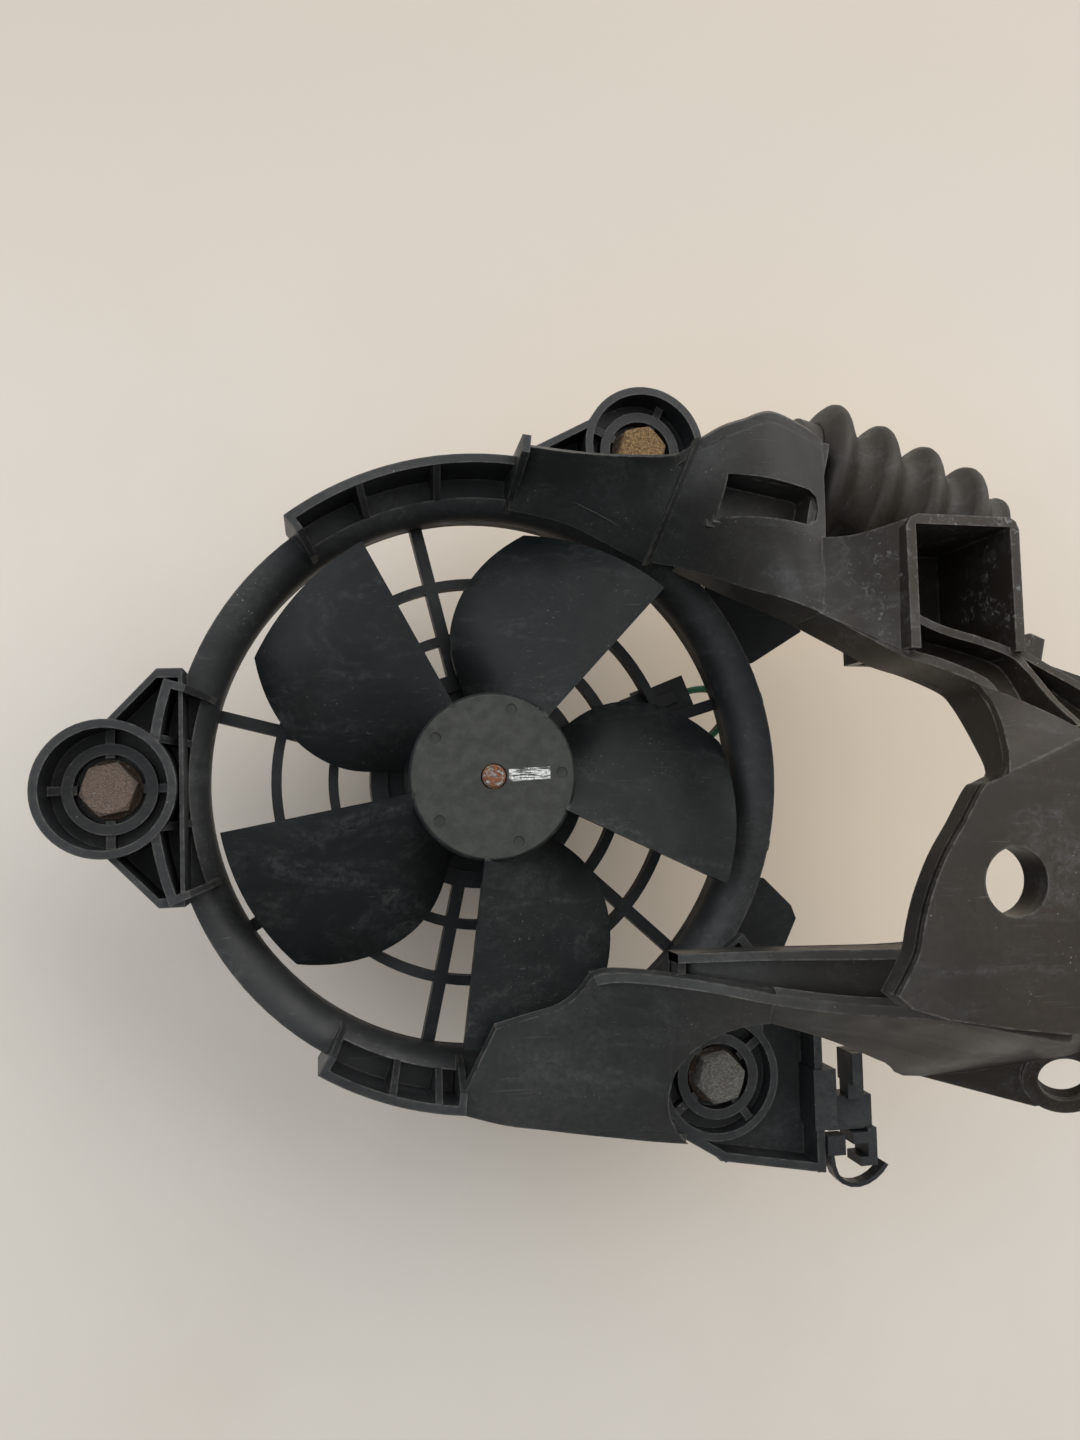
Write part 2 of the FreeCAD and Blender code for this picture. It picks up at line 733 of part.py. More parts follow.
keep(make_windings(), "armature_windings")

commutator_low = can_rear + 2.2


def make_commutator():
    low = float(commutator_low)
    high = low + float(commutator_length)
    barrel = tube(commutator_radius, shaft_radius, low, high)
    barrel = barrel.fuse(tube(float(commutator_radius) + 1.2, shaft_radius, high - 1.6, high))
    for i in range(core_slots):
        groove = Part.makeBox(10, 0.5, float(commutator_length) + 2,
                              V(float(commutator_radius) - 0.8, -0.25, low - 1))
        groove.rotate(ORIGIN, UP, 36 + 72 * i)
        barrel = barrel.cut(groove)
    return shaped("commutator", barrel)


keep(make_commutator(), "commutator")

brush_low = commutator_low + 0.6
brush_inner = commutator_radius + 0.05
holder_wall = 1.0


def sideways_blocks(name, length, width, height, start, low):
    """Two equal blocks on either side of the axis."""
    blocks = []
    for side in (0, 180):
        block = doc.addObject("Part::Box", "%s_%d" % (name, side))
        bind(block, "Length", length)
        bind(block, "Width", width)
        bind(block, "Height", height)
        spin = FreeCAD.Rotation(UP, side + 90)
        corner = spin.multVec(V(float(start), -float(width) / 2, float(low)))
        block.Placement = FreeCAD.Placement(corner, spin)
        blocks.append(block)
    return blocks


def grouped(name, things):
    group = doc.addObject("Part::Compound", name)
    group.Links = things
    return group


keep(grouped("brush_pair", sideways_blocks("brush", brush_length, brush_width, brush_height,
                                           brush_inner, brush_low)), "brushes")


def make_brush_holders():
    """Sheet-metal boxes that guide the brushes; each is closed at its outer end."""
    long = float(holder_length)
    start = float(brush_inner) + 2.6
    gap = 0.15
    holders = []
    for side in (90, 270):
        wide = float(brush_width) + 2 * (gap + holder_wall)
        tall = float(brush_height) + 2 * (gap + holder_wall)
        low = float(brush_low) - gap - holder_wall
        box = Part.makeBox(long, wide, tall, V(start, -wide / 2, low))
        bore = Part.makeBox(long, wide - 2 * holder_wall, tall - 2 * holder_wall,
                            V(start - holder_wall, -wide / 2 + holder_wall, low + holder_wall))
        foot = Part.makeBox(8, wide, low - float(can_rear) + holder_wall, V(start + 1, -wide / 2, float(can_rear)))
        holder = box.cut(bore).fuse(foot)
        holder.rotate(ORIGIN, UP, side)
        holders.append(holder)
    return shaped("brush_holders", Part.makeCompound(holders))


keep(make_brush_holders(), "brush_holders")


def make_brush_springs():
    """One spring behind each brush, drawn as a stack of coils on a thin core."""
    start = float(brush_inner) + float(brush_length)
    end = float(brush_inner) + 2.6 + float(holder_length) - holder_wall
    mid = float(brush_low) + float(brush_height) / 2
    turns = 6
    pitch = (end - start) / turns
    springs = []
    for side in (90, 270):
        spring = Part.makeCylinder(0.5, end - start, V(start, 0, mid), V(1, 0, 0))
        for i in range(turns):
            at = start + pitch * (i + 0.5)
            spring = spring.fuse(Part.makeCylinder(1.5, pitch * 0.4, V(at - pitch * 0.2, 0, mid), V(1, 0, 0)))
        spring.rotate(ORIGIN, UP, side)
        springs.append(spring)
    return shaped("brush_springs", Part.makeCompound(springs))


keep(make_brush_springs(), "brush_springs")


# Guard behind the impeller

spoke_angles = (17, 60, 104, 166, 212, 258, 318)


upper_ear = [(62, 42), (70, 30), (80.4, 33), (95.8, 42.4), (92, 58), (70, 66)]
lower_ear = [(70, -28), (81.6, -29.4), (89.7, -37.4), (91.1, -41.2), (86.7, -50.1), (66, -62), (60, -48)]


def make_guard():
    """Spokes and rings behind the impeller, with the motor's collar and two ears."""
    rear = float(guard_rear)
    front = rear + float(spoke_depth)
    outer = tube(flange_radius, float(throat_radius) + 0.4, ring_rear - 5, ring_rear)
    parts = []
    for radius in (guard_ring_large, guard_ring_small):
        half = float(guard_ring_width) / 2
        parts.append(tube(float(radius) + half, float(radius) - half, rear, front))
    plate_low = float(can_front)
    parts.append(tube(motor_ring_outer, motor_radius + motor_gap, plate_low - 6, front))
    parts.append(tube(float(motor_radius) + 2, float(nose_radius) + 0.4, plate_low, plate_low + float(motor_plate)))
    for angle in spoke_angles:
        spoke = Part.makeBox(float(throat_radius) + 2 - float(motor_radius) - 2, float(spoke_width),
                             float(spoke_depth), V(float(motor_radius) + 2, -float(spoke_width) / 2, rear))
        foot = Part.makeBox(6, float(spoke_width), float(ring_rear) - rear - 1,
                            V(float(throat_radius) + 1, -float(spoke_width) / 2, rear))
        spoke = spoke.fuse(foot)
        spoke.rotate(ORIGIN, UP, angle)
        parts.append(spoke)
    for angle in (15.5, -13.8):
        hook = ring_sector(float(flange_radius) - 1, float(flange_radius) + 5, ring_rear - 5, ring_rear - 1,
                           angle - 1.0, angle + 1.0)
        post = ring_sector(float(flange_radius) + 0.2, float(flange_radius) + 4.4, float(ring_rear) - 5,
                           float(ring_rear) + 3.4, angle - 1.0, angle + 1.0)
        parts.extend([hook, post])
    for plan in (upper_ear, lower_ear):
        parts.append(prism(plan, float(ring_rear) - 5, float(ring_rear) - 1.5))
    solid = outer.fuse(parts)
    solid = solid.cut(tube(float(throat_radius) + 0.4, 0, front + 0.01, 40))
    for x, y in screw_places():
        solid = solid.cut(tube(float(screw_radius) + 0.2, 0, -30, 0, x, y))
    return solid


guard_solid = make_guard()
shroud_solid = nodes[0].Shape
guard_solid = guard_solid.cut(shroud_solid)
keep(shaped("fan_guard", guard_solid), "fan_guard")


def make_motor_screws():
    low = float(can_front) - float(motor_wall) - 0.9
    seat = float(can_front) + float(motor_plate)
    screws = []
    for x, y in screw_places():
        shank = tube(screw_radius, 0, low, seat, x, y)
        head = tube(screw_head, 0, seat, seat + float(screw_head_height), x, y)
        drive = Part.makeBox(1, 5, 1.2, V(float(x) - 0.5, float(y) - 2.5, seat + float(screw_head_height) - 1.2))
        cross = Part.makeBox(5, 1, 1.2, V(float(x) - 2.5, float(y) - 0.5, seat + float(screw_head_height) - 1.2))
        screws.append(shank.fuse(head).cut(drive.fuse(cross)))
    return shaped("motor_screws", Part.makeCompound(screws))


keep(make_motor_screws(), "motor_screws")


# Collars, washers and bolts in the three bosses

def one_at_each_boss(name, make):
    return keep(shaped(name, Part.makeCompound([make(float(x), float(y)) for x, y in bosses])), name)


def collar(x, y):
    return tube(collar_radius, bolt_radius + bolt_gap, 0, boss_floor, x, y)


def washer(x, y):
    return tube(washer_radius, bolt_radius + bolt_gap, boss_floor, boss_floor + washer_thick, x, y)


def bolt(x, y):
    """A hexagon head bolt with a bevelled head."""
    seat = float(boss_floor) + float(washer_thick)
    corner = float(bolt_flats) / math.sqrt(3)
    points = [(x + corner * math.cos(math.radians(60 * i + 12)), y + corner * math.sin(math.radians(60 * i + 12)))
              for i in range(6)]
    head = prism(points, seat, seat + float(bolt_head))
    bevel = Part.makeCone(corner * 1.6, float(bolt_flats) / 2 - 0.2, 4.2, V(x, y, seat + float(bolt_head) - 4.2))
    head = head.common(tube(corner * 1.6, 0, seat, seat + float(bolt_head) - 4.2, x, y).fuse(bevel))
    neck = tube(bolt_radius - bolt_waist, 0, -0.3, seat, x, y)
    shank = tube(bolt_radius, 0, -float(bolt_reach) + 1, -0.3, x, y)
    tip = Part.makeCone(float(bolt_radius) - 0.9, float(bolt_radius), 1, V(x, y, -float(bolt_reach)))
    return joined(head, [neck, shank, tip])


one_at_each_boss("boss_collars", collar)
one_at_each_boss("boss_washers", washer)
one_at_each_boss("mounting_bolts", bolt)


# Bracket frame

def strip(edges, thickness):
    """A bent plate through a row of straight edges; the thickness is one vector or one per edge."""
    wires = []
    for i, (start, end) in enumerate(edges):
        thick = V(*(thickness[i] if isinstance(thickness, list) else thickness))
        start = V(*start)
        end = V(*end)
        wires.append(Part.makePolygon([start, end, end + thick, start + thick, start]))
    return Part.makeLoft(wires, True, True)


def level(edge, depth):
    """The vertical edge that hangs down from a point."""
    x, y, z = edge
    return ((x, y, z), (x, y, z - depth))


def flat_unit(dx, dy, length):
    long = math.hypot(dx, dy)
    return (dx / long * length, dy / long * length, 0)


def hanging(points, depths, side):
    """A skirt that hangs from a row of points; side is +1 or -1, the side that its thickness goes to."""
    wall = float(frame_wall) * side
    edges = [level(point, depth) for point, depth in zip(points, depths)]
    thick = []
    for i in range(len(points)):
        a = points[max(i - 1, 0)]
        b = points[min(i + 1, len(points) - 1)]
        thick.append(flat_unit(-(b[1] - a[1]), b[0] - a[0], wall))
    return strip(edges, thick)


skin_inner = [(6.6, 75.7, 0), (23.5, 72.3, 0), (38, 65.8, 2), (50, 60, 5), (58, 55.5, 9), (66.8, 47.1, 17),
              (78.9, 38.1, 31), (88.2, 32.1, 44), (97, 24.6, 55), (107.4, 15.5, 69), (114, 4.5, 88)]
skin_outer = [(8, 83.6, 25.5), (25.4, 80.4, 31), (44.6, 79.6, 39), (58, 85.6, 46), (66, 87, 48), (77, 84, 48),
              (85, 67, 47), (86.5, 57, 52), (96.5, 57, 60), (119, 36, 70), (137, 8, 88)]
skin_depth = [(0.2, 2.2, 0), (0.7, 2.1, 0), (1.1, 1.8, -0.4), (0.9, 1.2, -1.8), (0.3, 0.4, -2.5)]


def upper_arm():
    """The concave wall beside the ring, the elbow above it and the arm up to the head plate."""
    flat = (0, 0, -float(frame_wall))
    depth = skin_depth + [flat] * (len(skin_inner) - len(skin_depth))
    web = strip(list(zip(skin_inner, skin_outer)), depth)
    inner = hanging(skin_inner[4:], [7, 8, 8, 8, 10, 15, 14], 1)
    outer = hanging(skin_outer[2:], [20, 30, 34, 36, 24, 18, 18, 18, 14], -1)
    return joined(web, [inner, outer])


hose_start = V(81.5, 79, 24)
hose_axis = V(0.963, -0.268, 0)


def hose_collar():
    """The short round neck of the elbow that the bellows boot is pushed over."""
    root = hose_start - hose_axis * 5
    long = float(neck_length) + 5
    outer = Part.makeCylinder(float(neck_radius), long, root, hose_axis)
    return outer.cut(Part.makeCylinder(float(neck_radius) - float(frame_wall), long + 2,
                                       root - hose_axis, hose_axis))


ridge = [(-1, -62.5, 20), (15, -58, 23), (23, -49, 27), (45, -50.5, 42), (63.5, -52.6, 57), (89, -52.5, 78),
         (109, -56.2, 88), (140, -56.5, 88)]
cover_low = [(-10.5, -84, 13), (12, -90, 12), (33, -94, 11), (50, -97, 11), (64, -97, 14), (101, -75, 42),
             (121, -66, 56), (140, -66, 65)]


def lower_arm():
    """The smooth cover over the lower right boss, rising along a ridge to the head plate."""
    web = strip(list(zip(ridge, cover_low)), (0, 0.9, -float(frame_wall)))
    apron = hanging(cover_low[:5], [13, 13, 12, 12, 12], 1)
    lip = hanging(ridge[2:7], [9, 9, 9, 9, 12], -1)
    return joined(web, [apron, lip])


def inner_channel():
    """The recessed channel along the ridge and the low rib on its inner side."""
    low = [(24, -51.2, 19), (45, -52, 34), (63.5, -54, 49), (89, -54, 70), (100, -55.4, 77)]
    far = [(27, -43.5, 20), (42, -42, 29), (61, -40.5, 45), (80.5, -38, 66), (96, -37, 78)]
    floor = strip(list(zip(low, far)), (0, 0, -float(frame_wall)))
    rib = strip([((x, y, z - 2), (x, y, z + 5)) for x, y, z in far], (0, -2.2, 0))
    return floor.fuse(rib)


lug_normal = V(-0.389, -0.417, 0.822)
lug_corner = V(101.9, -75.1, 42)
lug_plan = [(101, -75.6), (121.3, -65.6), (140, -65), (140, -79), (126, -82.2)]


def on_lug(x, y):
    """The point of the lug's slanted face above a plan point."""
    lift = lug_normal.x * (x - lug_corner.x) + lug_normal.y * (y - lug_corner.y)
    return V(x, y, lug_corner.z - lift / lug_normal.z)


def slanted_lug():
    """The slanted lug, the embossed ring round its bolt hole, and the drill for that hole."""
    corners = [on_lug(x, y) for x, y in lug_plan]
    plate = Part.Face(Part.makePolygon(corners + corners[:1])).extrude(lug_normal * -3)
    middle = on_lug(130, -76 + 2)
    ring = Part.makeCylinder(float(lug_hole) + 3.6, 4.2, middle - lug_normal * 3, lug_normal)
    drill = Part.makeCylinder(float(lug_hole), 30, middle - lug_normal * 15, lug_normal)
    return plate, ring, drill


head_outline = [
    (113, 6), (97.5, 4.3), (95, -3), (90.5, -8.1), (85.6, -14.1), (83.1, -20.1), (79.3, -28.1), (75.6, -35.9),
    (73, -43.7), (72, -50), (76, -53.5), (109, -57), (137, -57), (140, -54), (140, 3), (137, 8),
]


def head_plate():
    """The plate nearest the front, with a skirt all round and a deep bolt hole."""
    top = float(plate_top)
    deep = float(plate_skirt)
    wall = float(frame_wall)
    face = Part.Face(Part.makePolygon([V(x, y, top) for x, y in head_outline + head_outline[:1]]))
    block = face.extrude(V(0, 0, -deep))
    inner = face.makeOffset2D(-wall).extrude(V(0, 0, -deep))
    inner.translate(V(0, 0, -wall))
    tray = block.cut(inner)
    return tray.fuse(tube(float(plate_hole) + 3, 0, top - float(plate_hole_depth), top,
                          plate_hole_x, plate_hole_y))


def box_socket():
    """The rectangular socket beside the upper arm, open to the front: its block and its hollow."""
    wall = float(frame_wall)
    wide = float(socket_length)
    tall = float(socket_width)
    top = float(socket_top)
    deep = float(socket_depth)
    corner = V(89.6, 26.3, top - deep)
    outside = Part.makeBox(wide + 2 * wall, tall + 2 * wall, deep, corner)
    inside = Part.makeBox(wide, tall, deep + 12, corner + V(wall, wall, wall))
    return outside, inside


def side_ribs():
    """Parallel ribs that run from the socket to the right end of the frame."""
    runs = [
        [(93, 28.5, 64), (114.3, 23, 66), (137, 17.5, 72)],
        [(95, 22.5, 68), (111.2, 17.3, 74), (138, 9, 86)],
    ]
    return [hanging(run, [10, 10, 12], 1) for run in runs]


def window_slot():
    """The slot in the elbow's face, rounded at both ends."""
    start = V(60, 69, 0)
    run = V(16, -5, 0)
    half = float(slot_half)
    side = V(-run.y, run.x, 0)
    side.normalize()
    side = side * half
    far = start + run
    slab = prism([(start.x + side.x, start.y + side.y), (far.x + side.x, far.y + side.y),
                  (far.x - side.x, far.y - side.y), (start.x - side.x, start.y - side.y)], 20, 70)
    return slab.fuse([tube(half, 0, 20, 70, start.x, start.y), tube(half, 0, 20, 70, far.x, far.y)])


def make_bracket_frame():
    outside, inside = box_socket()
    lug, ring, drill = slanted_lug()
    solid = joined(head_plate(), [upper_arm(), lower_arm(), inner_channel(), outside, hose_collar(), lug, ring])
    solid = joined(solid, side_ribs())
    solid = solid.cut(inside)
    x, y = float(plate_hole_x), float(plate_hole_y)
    solid = solid.cut(tube(plate_hole, 0, 0, 120, x, y))
    bx, by = float(boss_low[0]) + 6.5, float(boss_low[1]) - 4
    bore = Part.makeCylinder(float(neck_radius) - float(frame_wall), 20, hose_start - hose_axis * 8, hose_axis)
    solid = solid.cut([drill, window_slot(), tube(access_radius, 0, -20, 120, bx, by), hose_room(), bore])
    solid = solid.cut(tube(throat_radius, 0, -30, 17.5))
    solid = solid.cut(nodes[0].Shape)
    pieces = sorted(solid.Solids, key=lambda piece: piece.Volume)
    print("bracket frame: %d loose slivers left out" % (len(pieces) - 1))
    return shaped("bracket_frame", pieces[-1])


# Bellows boot on the elbow's neck

def boot_profile():
    """Outside (distance, radius) points of the boot: lobes that get smaller, and a plain end."""
    pitch = float(boot_pitch)
    depth = float(boot_depth)
    points = [(0.4, float(boot_radius) - depth)]
    for i in range(boot_lobes):
        start = pitch * i
        peak = float(boot_radius) - float(boot_taper) * i
        points += [(start + pitch * 0.2, peak), (start + pitch * 0.4, peak), (start + pitch * 0.85, peak - depth)]
    points.append((points[-1][0] + 4, points[-1][1]))
    return points


def boot_shell(grow, wall):
    """The boot as a solid, made larger by grow; wall 0 leaves it filled."""
    outer = [(at, radius + grow) for at, radius in boot_profile()]
    first, last = outer[0], outer[-1]
    if wall:
        inner = [(at, radius - wall) for at, radius in reversed(outer)]
    else:
        inner = [(last[0], 0), (first[0], 0)]
    corners = [V(radius, 0, at) for at, radius in outer + inner]
    face = Part.Face(Part.makePolygon(corners + corners[:1]))
    shell = face.revolve(ORIGIN, UP, 360)
    shell.Placement = FreeCAD.Placement(hose_start, FreeCAD.Rotation(UP, hose_axis))
    return shell


def hose_room():
    """Clearance for the boot, kept off the neck itself."""
    around = boot_shell(0.5, 0)
    neck = Part.makeCylinder(float(neck_radius), float(neck_length), hose_start, hose_axis)
    return around.cut(neck)


keep(make_bracket_frame(), "bracket_frame")
keep(shaped("bellows_boot", boot_shell(0, boot_wall)), "bellows_boot")


# Connector, lead and grommet

def make_connector():
    """The two-way housing on the guard: body, latch and two wire holes."""
    long, wide, deep = float(plug_length), float(plug_width), float(plug_depth)
    block = Part.makeBox(long, wide, deep, V(-long / 2, -wide / 2, -deep / 2))
    latch = Part.makeBox(long * 0.45, 3.6, 1.6, V(-long * 0.2, -1.8, deep / 2 - 0.2))
    flange = Part.makeBox(1.4, wide + 1.6, deep + 0.8, V(-long / 2 + 4, -wide / 2 - 0.8, -deep / 2 - 0.8))
    solid = block.fuse([latch, flange])
    for height in (lead_rise, -lead_rise):
        solid = solid.cut(Part.makeCylinder(float(lead_radius), long, V(long / 2 - 5, 0, float(height)), V(1, 0, 0)))
        solid = solid.cut(Part.makeBox(long - 6, 2.2, 1.6, V(-long / 2 + 1, -1.1, float(height) - 0.8)))
    return placed_plug(solid)


def placed_plug(shape):
    shape = shape.copy()
    shape.rotate(ORIGIN, UP, plug_angle)
    shape.translate(V(float(plug_x), float(plug_y), float(plug_z)))
    return shape


def make_terminals():
    """A folded metal contact at the end of each lead."""
    long = float(plug_length)
    contacts = []
    for height in (float(lead_rise), -float(lead_rise)):
        blade_piece = Part.makeBox(long - 8, 2.0, 0.8, V(-long / 2 + 2, -1.0, height - 0.4))
        contacts.append(placed_plug(blade_piece))
    return shaped("connector_terminals", Part.makeCompound(contacts))


def lead_points(height):
    """The way of a lead: out of the plug, behind the ring, back to the motor and to a brush holder."""
    h = float(height)
    turn = math.radians(plug_angle)
    out = V(math.cos(turn), math.sin(turn), 0)
    start = V(float(plug_x), float(plug_y), float(plug_z) + h) + out * (float(plug_length) / 2 - 4.9)
    side = 1 if h > 0 else -1
    return [
        start,
        start + out * 14.5,
        V(80, 19, -20 + h),
        V(66, 6, -27 + h),
        V(50, 1.2, -36 + h),
        V(37, 0, grommet_z + h),
        V(20, 0, grommet_z + h),
        V(11.5, side * 6.5, grommet_z + h * 0.6),
        V(float(brush_width) / 2 + 1.75, side * 13.0, grommet_z + h * 0.6),
    ]


def lead(points):
    """A round lead along straight runs joined by tangent arcs."""
    radii = []
    edges = []
    at = points[0]
    for i in range(1, len(points) - 1):
        before = (points[i] - points[i - 1])
        after = (points[i + 1] - points[i])
        run = min(before.Length, after.Length)
        half = before.getAngle(after) / 2
        radius = 0.45 * run / math.tan(half)
        cut = radius * math.tan(half)
        before.normalize()
        after.normalize()
        enter = points[i] - before * cut
        leave = points[i] + after * cut
        middle = points[i] + (after - before).normalize() * (radius / math.cos(half) - radius)
        edges.append(Part.LineSegment(at, enter).toShape())
        edges.append(Part.Arc(enter, middle, leave).toShape())
        radii.append(round(radius, 1))
        at = leave
    edges.append(Part.LineSegment(at, points[-1]).toShape())
    path = Part.Wire(edges)
    heading = points[1] - points[0]
    ring = Part.Wire(Part.makeCircle(float(lead_radius), points[0], heading))
    solid = path.makePipeShell([ring], True, False)
    section = math.pi * float(lead_radius) ** 2
    print("lead: length %.1f mm, bend radii %s, volume / (section x length) %.3f"
          % (path.Length, radii, solid.Volume / (section * path.Length)))
    return solid


lead_heights = (lead_rise, -lead_rise)
lead_solids = [lead(lead_points(height)) for height in lead_heights]
keep(shaped("connector_housing", make_connector()), "connector_housing")
keep(make_terminals(), "connector_terminals")
keep(shaped("lead_green", lead_solids[0]), "lead_green")
keep(shaped("lead_brown", lead_solids[1]), "lead_brown")


def make_grommet():
    """A rubber bush in the can's wall that holds both leads."""
    near = float(motor_radius) - float(motor_wall)
    bush = Part.makeCylinder(grommet_radius, 4.6, V(near - 0.6, 0, grommet_z), V(1, 0, 0))
    head = Part.makeCylinder(grommet_radius + 1.1, 2, V(float(motor_radius) + 0.4, 0, grommet_z), V(1, 0, 0))
    solid = bush.fuse(head)
    for height in lead_heights:
        solid = solid.cut(Part.makeCylinder(float(lead_radius), 20, V(15, 0, grommet_z + float(height)), V(1, 0, 0)))
    return shaped("lead_grommet", solid)


keep(make_grommet(), "lead_grommet")


# Harness clip and cable tie on the bolt tray

def make_clip():
    """A push-on clip: clamp block on the tray's wall, tongue, hook and the strap's eye."""
    blocks = [
        Part.makeBox(6.5, 16, 9.5, V(87.6, -96.4, 0.5)),
        Part.makeBox(13, 9, 7, V(92.5, -97.4, 0.5)),
        Part.makeBox(4.6, 13, 5, V(98, -89, 4)),
        Part.makeBox(2.6, 8.4, 9, V(98, -84.5, 3)),
        Part.makeBox(7, 3, 8, V(99, -101, 1)),
        Part.makeBox(2.6, 10, 8, V(103.4, -107, 1)),
        Part.makeBox(4, 2.4, 8, V(101, -107, 1)),
    ]
    solid = blocks[0].fuse(blocks[1:])
    clamp = Part.makeBox(float(ring_wall) + 0.1, 20, 12, V(89.6 - float(ring_wall) / 2 - 0.05, -98, -3))
    return shaped("harness_clip", solid.cut(clamp))


def make_tie():
    """An open strap in a bow, with its locking head and a tapered end."""
    head = Part.makeBox(5.2, 5.2, 4.4, V(91.1, -103.4, 5.4))
    bow = [(92.4, -101.5), (92.6, -105.3), (94.3, -109.6), (98.8, -111.6), (103.6, -110.6), (108.3, -106.6)]
    spots = [V(x, y, 0) for x, y in bow]
    curve = Part.BSplineCurve()
    curve.interpolate(spots)
    side = []
    back = []
    steps = 10
    for i in range(steps + 1):
        at = i / steps
        where = curve.FirstParameter + (curve.LastParameter - curve.FirstParameter) * at
        point = curve.value(where)
        normal = V(*curve.tangent(where)[0])
        normal = V(-normal.y, normal.x, 0)
        side.append((point.x + normal.x * 0.6, point.y + normal.y * 0.6))
        back.append((point.x - normal.x * 0.6, point.y - normal.y * 0.6))
    strap = prism(side + back[::-1], 5.6, 9.6)
    return shaped("cable_tie", head.fuse(strap))


keep(make_clip(), "harness_clip")
keep(make_tie(), "cable_tie")


# Checking and writing

def check(thing):
    bad = [state for state in thing.State if state in ("Invalid", "Error")]
    if bad:
        raise RuntimeError("%s is %s" % (thing.Name, bad))


doc.recompute()
for thing in doc.Objects:
    check(thing)
os.makedirs("parts", exist_ok=True)
for thing in nodes:
    shape = thing.Shape
    if shape.isNull() or not shape.isValid():
        raise RuntimeError("%s has no valid shape" % thing.Label)
    print("%-20s solids %d volume %.0f" % (thing.Label, len(shape.Solids), shape.Volume))
    shape.exportStep("parts/%s.step" % thing.Label)
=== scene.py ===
# %% [markdown]
# # A radiator cooling fan, painted on its CAD model
#
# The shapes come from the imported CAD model, in metres, with +Z along the fan axis towards the front. Here
# each piece gets a procedural finish: moulded black plastic under a film of dust, rusty bolts, rubber and
# wire. Four pieces are shaped again: the bracket moulding and the rubber boot, whose CAD solids are
# plainer, and the two leads, which are cords. The floor, the camera and the light come last.

# %% Load the CAD model and note its outer box
import math

import bmesh
import bpy
from mathutils import Matrix, Vector


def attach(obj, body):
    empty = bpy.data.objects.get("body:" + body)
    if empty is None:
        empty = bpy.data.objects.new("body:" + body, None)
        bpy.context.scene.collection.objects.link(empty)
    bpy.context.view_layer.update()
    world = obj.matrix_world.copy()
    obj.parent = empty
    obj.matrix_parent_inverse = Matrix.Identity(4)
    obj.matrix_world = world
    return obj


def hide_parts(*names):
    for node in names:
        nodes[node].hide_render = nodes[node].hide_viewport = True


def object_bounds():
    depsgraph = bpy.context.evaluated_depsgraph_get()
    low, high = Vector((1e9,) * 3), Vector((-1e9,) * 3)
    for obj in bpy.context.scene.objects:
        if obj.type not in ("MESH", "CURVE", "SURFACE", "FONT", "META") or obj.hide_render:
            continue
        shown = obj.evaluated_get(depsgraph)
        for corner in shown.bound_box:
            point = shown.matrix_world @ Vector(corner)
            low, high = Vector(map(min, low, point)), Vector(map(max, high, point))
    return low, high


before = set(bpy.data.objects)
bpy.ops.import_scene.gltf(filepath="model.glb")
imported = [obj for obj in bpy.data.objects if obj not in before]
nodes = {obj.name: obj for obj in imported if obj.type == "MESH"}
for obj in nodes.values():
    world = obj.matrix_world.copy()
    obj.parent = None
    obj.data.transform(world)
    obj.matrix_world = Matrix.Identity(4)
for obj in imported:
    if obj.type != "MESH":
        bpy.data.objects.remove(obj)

cad_low, cad_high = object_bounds()
cad_box = [[float(v) for v in cad_low], [float(v) for v in cad_high]]
MM = 0.001
print("pieces from CAD:", len(nodes), "box in mm:",
      [[round(v / MM, 1) for v in corner] for corner in cad_box])

# %% [markdown]
# ## Tools for node groups
#
# A finish is made of a few effects that many materials share, such as settled dust or fine scratches. Each
# effect is one shader node group. They could be wired by hand in the node editor; written as text, they
# are read and changed in one place. `Wiring` keeps that text short: `add` makes a node and fills its
# inputs, where an input can be a number, a colour or another node's output.

# %% A small helper that makes nodes and links
class Wiring:
    """Adds nodes to one tree."""

    def __init__(self, tree):
        self.tree = tree

    def add(self, kind, settings=None, **inputs):
        node = self.tree.nodes.new(kind)
        for name, value in (settings or {}).items():
            setattr(node, name, value)
        for name, value in inputs.items():
            key = int(name[1:]) if name[0] == "i" and name[1:].isdigit() else name.replace("_", " ")
            socket = node.inputs[key]
            if isinstance(value, bpy.types.NodeSocket):
                self.tree.links.new(value, socket)
            else:
                socket.default_value = value
        return node

    def link(self, value, socket):
        self.tree.links.new(value, socket)

    def math(self, operation, a, b=0.0, c=0.0, clamp=False):
        node = self.add("ShaderNodeMath", {"operation": operation, "use_clamp": clamp}, i0=a, i1=b, i2=c)
        return node.outputs[0]

    def product(self, *values):
        """The values multiplied together, kept between 0 and 1."""
        total = values[0]
        for value in values[1:]:
            total = self.math("MULTIPLY", total, value, clamp=True)
        return total

    def ramp(self, value, low, high):
        """0 below low, 1 above high, smooth between."""
        node = self.add("ShaderNodeMapRange", {"interpolation_type": "SMOOTHSTEP"}, Value=value)
        node.inputs["From Min"].default_value = low
        node.inputs["From Max"].default_value = high
        return node.outputs["Result"]

    def mix(self, factor, a, b):
        node = self.tree.nodes.new("ShaderNodeMix")
        node.data_type = "RGBA"
        for index, value in ((0, factor), (6, a), (7, b)):
            if isinstance(value, bpy.types.NodeSocket):
                self.tree.links.new(value, node.inputs[index])
            else:
                node.inputs[index].default_value = value
        return node.outputs[2]

    def noise(self, where, scale, detail=3.0, rough=0.55, distortion=0.0):
        return self.add("ShaderNodeTexNoise", None, Vector=where, Scale=scale, Detail=detail,
                        Roughness=rough, Distortion=distortion).outputs["Fac"]


print("wiring ready")

